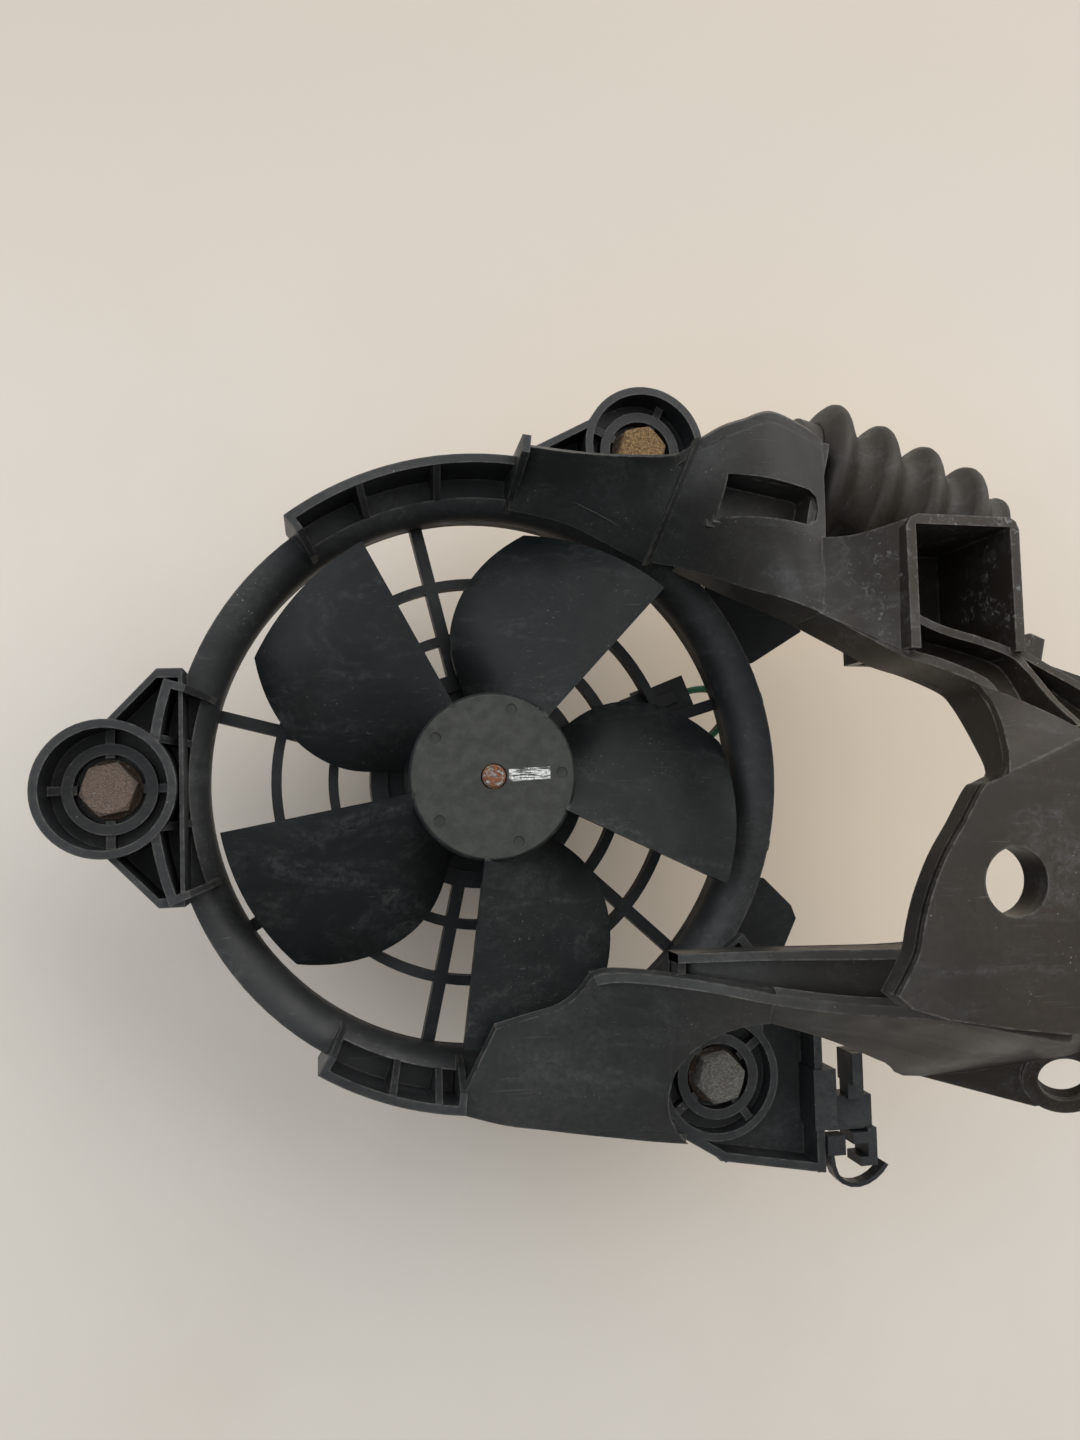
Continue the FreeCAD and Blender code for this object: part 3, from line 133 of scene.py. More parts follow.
# %% [markdown]
# A group starts empty, with named sockets that each material fills with its own values. Colours are
# written as three values from 0 to 1, and `rgba` adds the fourth that a socket wants.

# %% Empty groups and colours
def new_group(name, inputs, outputs):
    """An empty effect with its sockets; returns its wiring, its input node and its output node."""
    tree = bpy.data.node_groups.new(name, "ShaderNodeTree")
    kinds = {"value": "NodeSocketFloat", "colour": "NodeSocketColor", "vector": "NodeSocketVector"}
    for label, kind, default in inputs:
        socket = tree.interface.new_socket(label, in_out="INPUT", socket_type=kinds[kind])
        if default is not None:
            socket.default_value = default
    for label, kind in outputs:
        tree.interface.new_socket(label, in_out="OUTPUT", socket_type=kinds[kind])
    wiring = Wiring(tree)
    start = tree.nodes.new("NodeGroupInput")
    end = tree.nodes.new("NodeGroupOutput")
    return wiring, start, end


def grey(value):
    return (value, value, value, 1.0)


def rgba(colour, share=1.0):
    """A colour's three values, scaled, and full opacity."""
    return tuple(value * share for value in colour) + (1.0,)


print("group tools ready")

# %% [markdown]
# ## Effects
#
# All effects read the place of a point in millimetres, so a stain keeps its size on every piece. Most of
# them take an amount and give a mask between 0 and 1, which a material mixes colours with. A hand-painted
# picture could do the same, but it needs a flat layout of each piece, and these need none. A noise that is
# squeezed along one axis comes out in streaks.

# %% An empty mask, and streaks
def new_mask(name):
    """An empty effect; returns its wiring, the place and amount that go in, and the mask's socket."""
    w, start, end = new_group(name, [("Place", "vector", None), ("Amount", "value", 0.5)],
                              [("Mask", "value")])
    return w, start.outputs["Place"], start.outputs["Amount"], end.inputs["Mask"]


def stretched(w, place, turn, scale):
    """The place turned and squeezed, for streaks."""
    return w.add("ShaderNodeMapping", None, Vector=place, Rotation=turn, Scale=scale).outputs["Vector"]


print("mask tools ready")

# %% [markdown]
# **Settled dust.** The fan has lain on its back, so dust is thickest on the faces that look to the front.
# A face's normal says how far it looks that way, which follows every curve by itself. Two sizes of noise
# break the film up, the broad one into drifts and the fine one into grit.

# %% Settled dust
def make_settled_dust():
    w, place, amount, mask = new_mask("settled_dust")
    facing = w.add("ShaderNodeNewGeometry").outputs["Normal"]
    up = w.add("ShaderNodeSeparateXYZ", None, Vector=facing).outputs["Z"]
    lying = w.ramp(up, -0.2, 0.95)
    drifts = w.ramp(w.noise(place, 0.035, 4.0, 0.6), 0.36, 0.68)
    grit = w.ramp(w.noise(place, 0.55, 5.0, 0.7), 0.25, 0.8)
    film = w.math("MULTIPLY_ADD", w.product(drifts, grit), 0.75, 0.25)
    w.link(w.product(film, lying, amount), mask)
    return w.tree


settled_dust = make_settled_dust()
print("effect:", settled_dust.name)

# %% [markdown]
# **Pale specks.** Dried dirt leaves small whitish flecks. Scattered objects would be heavy for something so
# flat. The middles of Voronoi cells are round dots already, and noise picks some of them and frays their
# rims. A harder noise adds short smears.

# %% Pale specks
def make_pale_specks():
    w, place, amount, mask = new_mask("pale_specks")
    cells = w.add("ShaderNodeTexVoronoi", {"feature": "F1"}, Vector=place, Scale=0.75)
    dots = w.math("SUBTRACT", 1.0, w.ramp(cells.outputs["Distance"], 0.02, 0.2))
    chosen = w.ramp(w.noise(place, 0.07, 3.0), 0.5, 0.68)
    frayed = w.ramp(w.noise(place, 1.6, 3.0), 0.42, 0.6)
    smears = w.ramp(w.noise(place, 0.75, 7.0, 0.8), 0.66, 0.76)
    both = w.math("MAXIMUM", w.product(dots, chosen, frayed), w.product(smears, 0.7))
    w.link(w.product(both, amount), mask)
    return w.tree


pale_specks = make_pale_specks()
print("effect:", pale_specks.name)

# %% [markdown]
# **Rub marks.** Handling leaves long thin scratches in two main directions. Each direction is one streaky
# noise with only its highest lines kept, so the scratches never repeat, and a third noise keeps them to
# the places that were handled.

# %% Rub marks
def make_rub_marks():
    w, place, amount, mask = new_mask("rub_marks")
    along = w.noise(stretched(w, place, (0.4, 0.2, 0.7), (0.05, 1.6, 0.9)), 1.0, 4.0, 0.6, 0.3)
    crossed = w.noise(stretched(w, place, (-0.3, 0.5, -0.9), (0.06, 2.1, 1.1)), 1.0, 3.0, 0.6, 0.2)
    marks = w.math("MAXIMUM", w.ramp(along, 0.64, 0.72), w.ramp(crossed, 0.66, 0.74))
    handled = w.ramp(w.noise(place, 0.06, 2.0), 0.42, 0.6)
    w.link(w.product(marks, handled, amount), mask)
    return w.tree


rub_marks = make_rub_marks()
print("effect:", rub_marks.name)

# %% [markdown]
# **Moulded grain.** The mould has a fine eroded texture, and flat walls come out of it slightly wavy. The
# relief is far too fine to model, so this effect gives a height, which a Bump node turns into shading.

# %% Moulded grain
def make_moulded_grain():
    w, start, end = new_group("moulded_grain", [("Place", "vector", None)], [("Height", "value")])
    grain = w.noise(start.outputs["Place"], 5.0, 3.0, 0.6)
    wave = w.noise(start.outputs["Place"], 0.12, 2.0)
    height = w.math("ADD", w.math("MULTIPLY", grain, 0.25), w.math("MULTIPLY", wave, 0.6))
    w.link(height, end.inputs["Height"])
    return w.tree


moulded_grain = make_moulded_grain()
print("effect:", moulded_grain.name)

# %% [markdown]
# ** Smudges and sheen.** Broad cloudy patches of paler grey: partly dust that a hand or a cloth has drawn
# out, partly painted sheen, streaks of light glancing off the plastic. They are one slow noise, stretched
# in the direction of the wipe, with a finer one inside it for the streaks.

# %% Smudges and sheen
def make_smudges_and_sheen():
    w, place, amount, mask = new_mask("smudges_and_sheen")
    drawn = stretched(w, place, (0.2, 0.3, 0.9), (0.035, 0.09, 0.06))
    broad = w.ramp(w.noise(drawn, 1.0, 5.0, 0.62, 1.2), 0.47, 0.72)
    streaks = w.ramp(w.noise(place, 0.5, 6.0, 0.75, 0.6), 0.34, 0.7)
    w.link(w.product(broad, streaks, amount), mask)
    return w.tree


smudges_and_sheen = make_smudges_and_sheen()
print("effect:", smudges_and_sheen.name)

# %% [markdown]
# ** Worn and highlit edges.** Outer edges are paler than the walls: partly rubbed wear, partly a painted
# highlight where light catches the rims. The Bevel node rounds the normals near an edge, so where the
# rounded normal and the true one disagree, there is an edge. Painting every edge by hand would have to be
# done again after each change of shape.

# %% Worn and highlit edges
def make_edges_worn_and_highlit():
    w, place, amount, mask = new_mask("edges_worn_and_highlit")
    rounded = w.add("ShaderNodeBevel", {"samples": 4}, Radius=0.9 * MM).outputs["Normal"]
    true = w.add("ShaderNodeNewGeometry").outputs["Normal"]
    match = w.add("ShaderNodeVectorMath", {"operation": "DOT_PRODUCT"}, i0=rounded, i1=true).outputs["Value"]
    edge = w.math("SUBTRACT", 1.0, w.ramp(match, 0.8, 0.985))
    chipped = w.ramp(w.noise(place, 0.35, 5.0, 0.7), 0.36, 0.62)
    w.link(w.product(edge, chipped, amount), mask)
    return w.tree


edges_worn_and_highlit = make_edges_worn_and_highlit()
print("effect:", edges_worn_and_highlit.name)

# %% [markdown]
# **Rust.** The bolts, washers and shaft end are steel under a crust of old rust. A coarse noise decides
# where the crust is, and a fine one gives its two tones and its height. The bare metal stays in between,
# so colour, roughness and metal all come from the same mask.

# %% Rust
def make_rust_skin():
    w, start, end = new_group("rust_skin", [("Place", "vector", None), ("Dark", "colour", grey(0.05)),
                                            ("Light", "colour", grey(0.3)), ("Metal", "colour", grey(0.4)),
                                            ("Cover", "value", 0.8)],
                              [("Color", "colour"), ("Roughness", "value"), ("Metallic", "value"),
                               ("Height", "value")])
    coarse = w.noise(start.outputs["Place"], 0.9, 6.0, 0.7)
    crust = w.noise(start.outputs["Place"], 3.4, 5.0, 0.75)
    tone = w.mix(w.ramp(crust, 0.32, 0.7), start.outputs["Dark"], start.outputs["Light"])
    edge = w.math("SUBTRACT", 1.0, start.outputs["Cover"])
    eaten = w.math("SUBTRACT", coarse, w.math("MULTIPLY", edge, 0.6))
    rusty = w.ramp(eaten, 0.28, 0.42)
    w.link(w.mix(rusty, start.outputs["Metal"], tone), end.inputs["Color"])
    w.link(w.math("MULTIPLY_ADD", rusty, 0.45, 0.45), end.inputs["Roughness"])
    bare = w.math("SUBTRACT", 1.0, rusty)
    w.link(w.math("MULTIPLY", bare, 0.8), end.inputs["Metallic"])
    w.link(w.math("MULTIPLY", crust, rusty), end.inputs["Height"])
    return w.tree


rust_skin = make_rust_skin()
print("effect:", rust_skin.name)

# %% [markdown]
# ## Materials
#
# Every recipe starts from the same two things: the point's place in millimetres, and a Principled shader.
# `effect` places a group in the material, and `bump` turns a height into fine relief.

# %% Start a material
def start_material(name):
    material = bpy.data.materials.new(name)
    material.use_nodes = True
    tree = material.node_tree
    w = Wiring(tree)
    shader = tree.nodes["Principled BSDF"]
    place = w.add("ShaderNodeTexCoord").outputs["Object"]
    large = w.add("ShaderNodeVectorMath", {"operation": "SCALE"}, i0=place)
    large.inputs["Scale"].default_value = 1 / MM
    return material, w, shader, large.outputs["Vector"]


def effect(w, tree, place, **inputs):
    node = w.add("ShaderNodeGroup", {"node_tree": tree}, Place=place)
    for name, value in inputs.items():
        if isinstance(value, bpy.types.NodeSocket):
            w.link(value, node.inputs[name])
        else:
            node.inputs[name].default_value = value
    return node


def bump(w, shader, height, strength, distance):
    node = w.add("ShaderNodeBump", None, Height=height, Strength=strength, Distance=distance)
    w.link(node.outputs["Normal"], shader.inputs["Normal"])


print("material tools ready")

# %% [markdown]
# ** Plastic and rubber.** Nearly all of the fan is black moulded plastic, and the boot is rubber. Both are
# one recipe with other numbers: a dark base in two tones, with dust, smudges that are partly painted sheen,
# scratches and pale flecks over it, and edges made pale by wear and a painted highlight. Each piece could
# have its own material, but one recipe keeps them alike, as they are on the real fan.

# %% Plastic and rubber
# Brown near the head plate: brown dust and a painted pool of warm light.
brown_dust_warm_lit = (0.09, 0.06, 0.034)
brown_base_warm_lit = (0.021, 0.0145, 0.0085)
# Paler smudge colour: wiped dust and painted sheen.
smudge_sheen_grey = (0.115, 0.12, 0.12)
scratch_grey = (0.16, 0.16, 0.155)
fleck_white = (0.42, 0.41, 0.38)
# Pale rim colour: wear and a painted edge highlight.
edge_grey = (0.2, 0.19, 0.17)


def plastic(name, base, dust, amount, specks=0.4, marks=0.4, rough=0.5, grain=0.25, smudge_sheen=0.3, edges=0.0,
            brown=0.0, gloss=0.3, extra=None):
    """Moulded plastic or rubber with dust on it.

    brown tints it towards the head plate, with brown dust and a painted pool of warm light. extra may paint
    more on top: it takes the wiring, the place, the colour and the roughness, and gives back the last two.
    """
    material, w, shader, place = start_material(name)
    shader.inputs["Specular IOR Level"].default_value = gloss
    film = effect(w, settled_dust, place, Amount=amount).outputs["Mask"]
    flecks = effect(w, pale_specks, place, Amount=specks).outputs["Mask"]
    scratch = effect(w, rub_marks, place, Amount=marks).outputs["Mask"]
    smudge_and_sheen = effect(w, smudges_and_sheen, place, Amount=smudge_sheen).outputs["Mask"]
    tint = w.ramp(w.noise(place, 0.05, 3.0), 0.3, 0.7)
    colour = w.mix(tint, rgba(base, 0.72), rgba(base))
    layer = rgba(dust)
    # Near the head plate the dust and base turn brown: brown dust and a painted pool of warm light.
    if brown:
        x = w.add("ShaderNodeSeparateXYZ", None, Vector=place).outputs["X"]
        near_head = w.product(w.ramp(x, 30.0, 110.0), brown)
        layer = w.mix(near_head, layer, rgba(brown_dust_warm_lit))
        colour = w.mix(w.product(near_head, 0.75), colour, rgba(brown_base_warm_lit))
    colour = w.mix(film, colour, layer)
    # Paler smudges: wiped dust and painted sheen.
    colour = w.mix(w.product(smudge_and_sheen, 0.55), colour, rgba(smudge_sheen_grey))
    colour = w.mix(w.product(scratch, 0.35), colour, rgba(scratch_grey))
    colour = w.mix(flecks, colour, rgba(fleck_white))
    # Pale edges: rubbed wear and a painted highlight on the rims.
    if edges:
        edge_wear_and_highlight = effect(w, edges_worn_and_highlit, place, Amount=edges).outputs["Mask"]
        colour = w.mix(edge_wear_and_highlight, colour, rgba(edge_grey))
    patches = w.ramp(w.noise(place, 0.045, 4.0, 0.6, 0.8), 0.35, 0.65)
    dull = w.math("MULTIPLY_ADD", patches, 0.16, rough - 0.1)
    dull = w.math("MULTIPLY_ADD", film, 0.5, dull)
    dull = w.math("MULTIPLY_ADD", flecks, 0.3, dull)
    dull = w.math("MULTIPLY_ADD", scratch, -0.12, dull, clamp=True)
    if extra:
        colour, dull = extra(w, place, colour, dull)
    w.link(colour, shader.inputs["Base Color"])
    w.link(dull, shader.inputs["Roughness"])
    height = effect(w, moulded_grain, place).outputs["Height"]
    bump(w, shader, w.math("MULTIPLY_ADD", scratch, -0.3, height), grain, 0.2 * MM)
    return material


print("plastic recipe ready")

# %% [markdown]
# **Metal.** Most of it is hidden inside the motor: copper, brass, bronze and steel. It is bare, and only a
# little unevenly dull, so a plain metallic base with one noise is enough.

# %% Bare metal
def metal(name, base, rough=0.35, dust=0.3):
    """Bare metal with a little uneven dullness."""
    material, w, shader, place = start_material(name)
    shader.inputs["Metallic"].default_value = 1.0
    film = effect(w, settled_dust, place, Amount=dust).outputs["Mask"]
    patches = w.noise(place, 0.6, 4.0)
    w.link(w.mix(patches, rgba(base), rgba(base, 0.6)), shader.inputs["Base Color"])
    dull = w.math("MULTIPLY_ADD", patches, 0.25, rough - 0.12)
    w.link(w.math("ADD", dull, film, clamp=True), shader.inputs["Roughness"])
    bump(w, shader, w.noise(place, 2.5, 3.0), 0.12, 0.2 * MM)
    return material


print("metal recipe ready")

# %% [markdown]
# **Rusty steel.** The three bolt heads have rusted differently: the left one is grey-brown, the top one
# tan and the lower right one pale grey. They are one piece, so the material looks at how high on the fan
# a point is. Three materials on one piece would do it too, with three times the nodes.

# %% Rusty steel
def rusty(name, dark, light, bare, cover, colour_of=None):
    """Rusted steel; colour_of may recolour it from the point's place."""
    material, w, shader, place = start_material(name)
    skin = effect(w, rust_skin, place, Dark=rgba(dark), Light=rgba(light), Metal=rgba(bare), Cover=cover)
    colour = skin.outputs["Color"]
    if colour_of:
        colour = colour_of(w, place, colour)
    w.link(colour, shader.inputs["Base Color"])
    w.link(skin.outputs["Roughness"], shader.inputs["Roughness"])
    w.link(skin.outputs["Metallic"], shader.inputs["Metallic"])
    bump(w, shader, skin.outputs["Height"], 0.9, 0.5 * MM)
    return material


def three_heads(w, place, colour):
    """The colour of each bolt head, from its place."""
    y = w.add("ShaderNodeSeparateXYZ", None, Vector=place).outputs["Y"]
    grain = w.ramp(w.noise(place, 2.2, 5.0, 0.7), 0.35, 0.7)
    tan = w.mix(grain, rgba((0.1, 0.055, 0.022)), rgba((0.42, 0.27, 0.12)))
    pale = w.mix(grain, rgba((0.09, 0.08, 0.065)), rgba((0.24, 0.235, 0.21)))
    top = w.mix(w.ramp(y, 40.0, 50.0), colour, tan)
    return w.mix(w.ramp(y, -40.0, -50.0), top, pale)


print("rust recipe ready")

# %% [markdown]
# **The hub's face.** It is greyer than the blades, and a white bar is painted on it beside the shaft, half
# scratched away. Both are masks in the impeller's material, so they turn with it. A thin plate laid on the
# hub would do for the bar, but its worn rims are easier as a mask.

# %% Paint on the hub
hub_front, hub_reach = 15.8, 21.0
bar_start, bar_end, bar_half_width, bar_slope = 4.1, 14.6, 1.5, 0.06
hub_grey = (0.062, 0.064, 0.057)
bar_white = (0.78, 0.79, 0.76)


def hub_paint(w, place, colour, rough):
    parts = w.add("ShaderNodeSeparateXYZ", None, Vector=place)
    x, y, z = parts.outputs["X"], parts.outputs["Y"], parts.outputs["Z"]
    reach = w.math("SQRT", w.math("ADD", w.math("MULTIPLY", x, x), w.math("MULTIPLY", y, y)))
    inside = w.math("SUBTRACT", 1.0, w.ramp(reach, hub_reach, hub_reach + 0.8))
    face = w.product(w.ramp(z, hub_front - 0.3, hub_front), inside)
    cloud = w.ramp(w.noise(place, 0.3, 6.0, 0.65), 0.25, 0.8)
    colour = w.mix(w.product(face, w.math("MULTIPLY_ADD", cloud, 0.5, 0.5)), colour, rgba(hub_grey))
    before_end = w.math("SUBTRACT", 1.0, w.ramp(x, bar_end, bar_end + 0.3))
    along = w.product(w.ramp(x, bar_start - 0.3, bar_start), before_end)
    off_line = w.math("ABSOLUTE", w.math("SUBTRACT", y, w.math("MULTIPLY", x, bar_slope)))
    across = w.math("SUBTRACT", 1.0, w.ramp(off_line, bar_half_width, bar_half_width + 0.15))
    chips = w.noise(stretched(w, place, (0.0, 0.0, 0.0), (0.18, 2.4, 1.0)), 1.0, 4.0, 0.7)
    grit = w.ramp(w.noise(place, 1.9, 5.0, 0.8), 0.36, 0.5)
    bar = w.product(along, across, face, w.ramp(chips, 0.44, 0.52), grit)
    colour = w.mix(bar, colour, rgba(bar_white))
    return colour, w.math("MULTIPLY_ADD", face, 0.12, rough, clamp=True)


print("white bar:", round(bar_end - bar_start, 1), "mm long")

# %% [markdown]
# **Scuffs round the box socket.** Its walls are scuffed white, as if a plug had been pulled in and out of it
# many times. A patchy noise gives the scuffs, and the place of the point keeps them to the socket.

# %% Scuffs
scuff_white = (0.22, 0.22, 0.215)


def box_scuffs(w, place, colour, rough):
    parts = w.add("ShaderNodeSeparateXYZ", None, Vector=place)
    near = w.product(w.ramp(parts.outputs["X"], 79.0, 85.0), w.ramp(parts.outputs["Y"], 27.0, 33.0))
    rubbed = w.ramp(w.noise(place, 0.55, 7.0, 0.72, 0.8), 0.53, 0.66)
    patches = w.ramp(w.noise(place, 0.1, 3.0), 0.44, 0.6)
    return w.mix(w.product(near, rubbed, patches, 0.75), colour, rgba(scuff_white)), rough


print("scuffs ready")

# %% [markdown]
# ## One finish for each piece
#
# The values after a plastic's name are its base colour, its dust colour and how much dust it has. The ring,
# the bracket and the boot lie open to the dirt, so they have the most; the pieces in the motor are clean.

# %% Paint the plastic and rubber pieces
finishes = {
    "shroud_ring": plastic("ring black", (0.017, 0.018, 0.0195), (0.1, 0.1, 0.095), 0.36, specks=0.8,
                           marks=0.7, rough=0.42, smudge_sheen=0.6, edges=0.5),
    "bracket_frame": plastic("frame black", (0.025, 0.027, 0.0275), (0.11, 0.108, 0.098), 0.34, specks=0.6,
                             marks=0.8, rough=0.38, smudge_sheen=0.75, edges=0.6, brown=0.9, gloss=0.26,
                             extra=box_scuffs),
    "impeller": plastic("impeller black", (0.0075, 0.0105, 0.0115), (0.062, 0.06, 0.05), 0.2, marks=0.7,
                        rough=0.4, grain=0.2, smudge_sheen=0.6, gloss=0.2, extra=hub_paint),
    "fan_guard": plastic("guard black", (0.008, 0.009, 0.0105), (0.05, 0.05, 0.047), 0.25, specks=0.15),
    "motor_can": plastic("motor paint", (0.012, 0.012, 0.013), (0.06, 0.06, 0.055), 0.3, specks=0.1,
                         rough=0.36),
    "motor_end_cap": plastic("cap black", (0.016, 0.016, 0.017), (0.08, 0.08, 0.07), 0.3),
    "bellows_boot": plastic("boot rubber", (0.017, 0.0165, 0.016), (0.1, 0.085, 0.062), 0.5, marks=0.2,
                            grain=0.15, smudge_sheen=0.9, brown=0.5),
    "lead_grommet": plastic("grommet rubber", (0.015, 0.015, 0.015), (0.07, 0.07, 0.06), 0.2, rough=0.65),
    "connector_housing": plastic("plug black", (0.013, 0.013, 0.014), (0.07, 0.07, 0.06), 0.3, rough=0.42),
    "harness_clip": plastic("clip black", (0.014, 0.016, 0.018), (0.11, 0.11, 0.105), 0.45, specks=0.6,
                            marks=0.6),
    "cable_tie": plastic("tie nylon", (0.014, 0.015, 0.017), (0.09, 0.09, 0.085), 0.35, rough=0.38,
                         grain=0.1),
    "lead_green": plastic("green wire", (0.03, 0.2, 0.09), (0.12, 0.14, 0.11), 0.25, specks=0.1, rough=0.4),
    "lead_brown": plastic("brown wire", (0.05, 0.03, 0.018), (0.1, 0.09, 0.07), 0.25, specks=0.1, rough=0.4),
    "magnets": plastic("ferrite", (0.05, 0.05, 0.052), (0.1, 0.1, 0.1), 0.1, rough=0.6),
    "brushes": plastic("carbon", (0.02, 0.02, 0.021), (0.05, 0.05, 0.05), 0.1, rough=0.55),
}
print("plastic and rubber:", len(finishes), "pieces")

# %% [markdown]
# The rusty pieces have a dark and a light rust, the metal under it, and how much of it is covered. The
# bare ones have a colour and how dull they are.

# %% Paint the metal pieces
finishes.update({
    "mounting_bolts": rusty("bolt rust", (0.055, 0.038, 0.03), (0.3, 0.22, 0.17), (0.32, 0.28, 0.25), 0.93,
                            three_heads),
    "boss_washers": rusty("washer rust", (0.03, 0.02, 0.015), (0.17, 0.11, 0.07), (0.2, 0.18, 0.16), 0.85),
    "motor_shaft": rusty("shaft rust", (0.09, 0.03, 0.014), (0.4, 0.15, 0.06), (0.4, 0.38, 0.36), 0.8),
    "boss_collars": metal("collar steel", (0.45, 0.43, 0.4), 0.45),
    "motor_screws": metal("zinc screws", (0.55, 0.55, 0.52), 0.4),
    "hub_insert": metal("insert brass", (0.62, 0.44, 0.2), 0.4),
    "front_bush": metal("front bronze", (0.5, 0.32, 0.15), 0.5),
    "rear_bush": metal("rear bronze", (0.5, 0.32, 0.15), 0.5),
    "armature_core": metal("core steel", (0.5, 0.5, 0.52), 0.4),
    "armature_windings": metal("enamelled copper", (0.62, 0.22, 0.08)),
    "commutator": metal("commutator copper", (0.7, 0.34, 0.17), 0.3),
    "brush_holders": metal("holder brass", (0.68, 0.5, 0.22)),
    "brush_springs": metal("spring steel", (0.6, 0.6, 0.6), 0.3),
    "connector_terminals": metal("terminal brass", (0.7, 0.55, 0.25), 0.3),
})
for name, material in finishes.items():
    piece = nodes[name]
    for spot in piece.material_slots:
        spot.material = material
    if not piece.material_slots:
        piece.data.materials.append(material)
print("painted", len(finishes), "of", len(nodes), "pieces")

# %% [markdown]
# ## The bracket moulding
#
# The frame beside the ring is one moulding: a concave wall, an elbow with a slot, an open channel that
# carries a box socket, the head plate, and a cover over the lower right bolt. The CAD solid is plainer, so
# this finer one stands in its place. It could be pulled out of a grid by hand. Here its walls are plates
# through rows of points, because each row is an edge that can be seen and moved by itself. The points are
# in millimetres, and `thin` is the wall.

# %% Smooth rows and closed solids
thin = 2.4


def smooth_row(values, steps):
    """Points on a Catmull-Rom curve through the given ones, ends included."""
    rows = [Vector(value) for value in values]
    path = []
    for i in range(len(rows) - 1):
        before = rows[max(i - 1, 0)]
        after = rows[min(i + 2, len(rows) - 1)]
        a, b = rows[i], rows[i + 1]
        for k in range(steps):
            t = k / steps
            path.append(0.5 * (2 * a + (b - before) * t + (2 * before - 5 * a + 4 * b - after) * t * t
                               + (3 * a - before - 3 * b + after) * t ** 3))
    path.append(rows[-1])
    return path


def closed_mesh(name, points, faces):
    """A mesh object from points in millimetres, with its normals turned outwards."""
    mesh = bpy.data.meshes.new(name)
    mesh.from_pydata([tuple(MM * value for value in point) for point in points], [], faces)
    shape = bmesh.new()
    shape.from_mesh(mesh)
    bmesh.ops.recalc_face_normals(shape, faces=shape.faces)
    shape.to_mesh(mesh)
    shape.free()
    piece = bpy.data.objects.new(name, mesh)
    bpy.context.scene.collection.objects.link(piece)
    return piece


def lofted(name, sections):
    """A closed solid through sections that have the same number of points."""
    count = len(sections[0])
    points = [point for section in sections for point in section]
    faces = []
    for i in range(len(sections) - 1):
        for j in range(count):
            k = (j + 1) % count
            faces.append((i * count + j, i * count + k, (i + 1) * count + k, (i + 1) * count + j))
    last = (len(sections) - 1) * count
    faces.append(tuple(range(count)))
    faces.append(tuple(range(last, last + count)))
    return closed_mesh(name, points, faces)


print("wall thickness:", thin, "mm")

# %% [markdown]
# A wall is made in one of three ways: a strip between two edges, a skirt that hangs down from one edge, or
# a sheet through rows of three points, for faces that are hollow or bulge. A Solidify modifier could
# thicken a face too, but then each wall would need its own object until the end.

# %% Strips, skirts and sheets
def strip(edges, thickness, steps=4):
    """A bent plate through a row of straight edges."""
    firsts = smooth_row([edge[0] for edge in edges], steps)
    seconds = smooth_row([edge[1] for edge in edges], steps)
    each = thickness if isinstance(thickness, list) else [thickness] * len(edges)
    layers = smooth_row(each, steps)
    sections = [[a, b, b + t, a + t] for a, b, t in zip(firsts, seconds, layers)]
    return lofted("strip", sections)


def hanging(points, depths, side, steps=4, wall=thin):
    """A skirt that hangs down from a row of points; side is the side that its thickness goes to."""
    edges = [(point, (point[0], point[1], point[2] - depth)) for point, depth in zip(points, depths)]
    layers = []
    for i in range(len(points)):
        a = Vector(points[max(i - 1, 0)])
        b = Vector(points[min(i + 1, len(points) - 1)])
        across = Vector((a.y - b.y, b.x - a.x, 0)).normalized()
        layers.append(across * wall * side)
    return strip(edges, layers, steps)


def skin(stations, thickness, steps=8):
    """A smooth sheet through rows of three points."""
    rows = [smooth_row(station, steps) for station in stations]
    columns = [smooth_row([row[i] for row in rows], steps) for i in range(len(rows[0]))]
    grid = list(zip(*columns))
    across = len(grid[0])
    upper = [point for row in grid for point in row]
    lower = [point + Vector(thickness) for point in upper]
    shift = len(upper)
    faces = []
    for i in range(len(grid) - 1):
        for j in range(across - 1):
            a, b = i * across + j, (i + 1) * across + j
            faces.append((a, a + 1, b + 1, b))
            faces.append((shift + a, shift + b, shift + b + 1, shift + a + 1))
    rim = (list(range(across)) + [i * across + across - 1 for i in range(1, len(grid))]
           + [(len(grid) - 1) * across + j for j in range(across - 2, -1, -1)]
           + [i * across for i in range(len(grid) - 2, 0, -1)])
    for a, b in zip(rim, rim[1:] + rim[:1]):
        faces.append((a, b, shift + b, shift + a))
    return closed_mesh("skin", upper + lower, faces)


print("wall tools ready")

# %% [markdown]
# The socket, the plate and the tubes are prisms and round bars. Holes are cut by a Boolean modifier, which
# is applied at once, so the cutter can go. `height_at` finds where a sheet lies above a point of the plan,
# for the rim of the slot.

# %% Prisms, bars and cuts
def prism(points, low, high):
    return lofted("prism", [[Vector((x, y, z)) for x, y in points] for z in (low, high)])


def cylinder(radius, start, axis, length, sides=64):
    """A round bar; two of them make a tube."""
    axis = Vector(axis).normalized()
    side = axis.orthogonal().normalized()
    other = axis.cross(side)
    sections = []
    for far in (0.0, length):
        middle = Vector(start) + axis * far
        sections.append([middle + side * radius * math.cos(2 * math.pi * i / sides)
                         + other * radius * math.sin(2 * math.pi * i / sides) for i in range(sides)])
    return lofted("bar", sections)


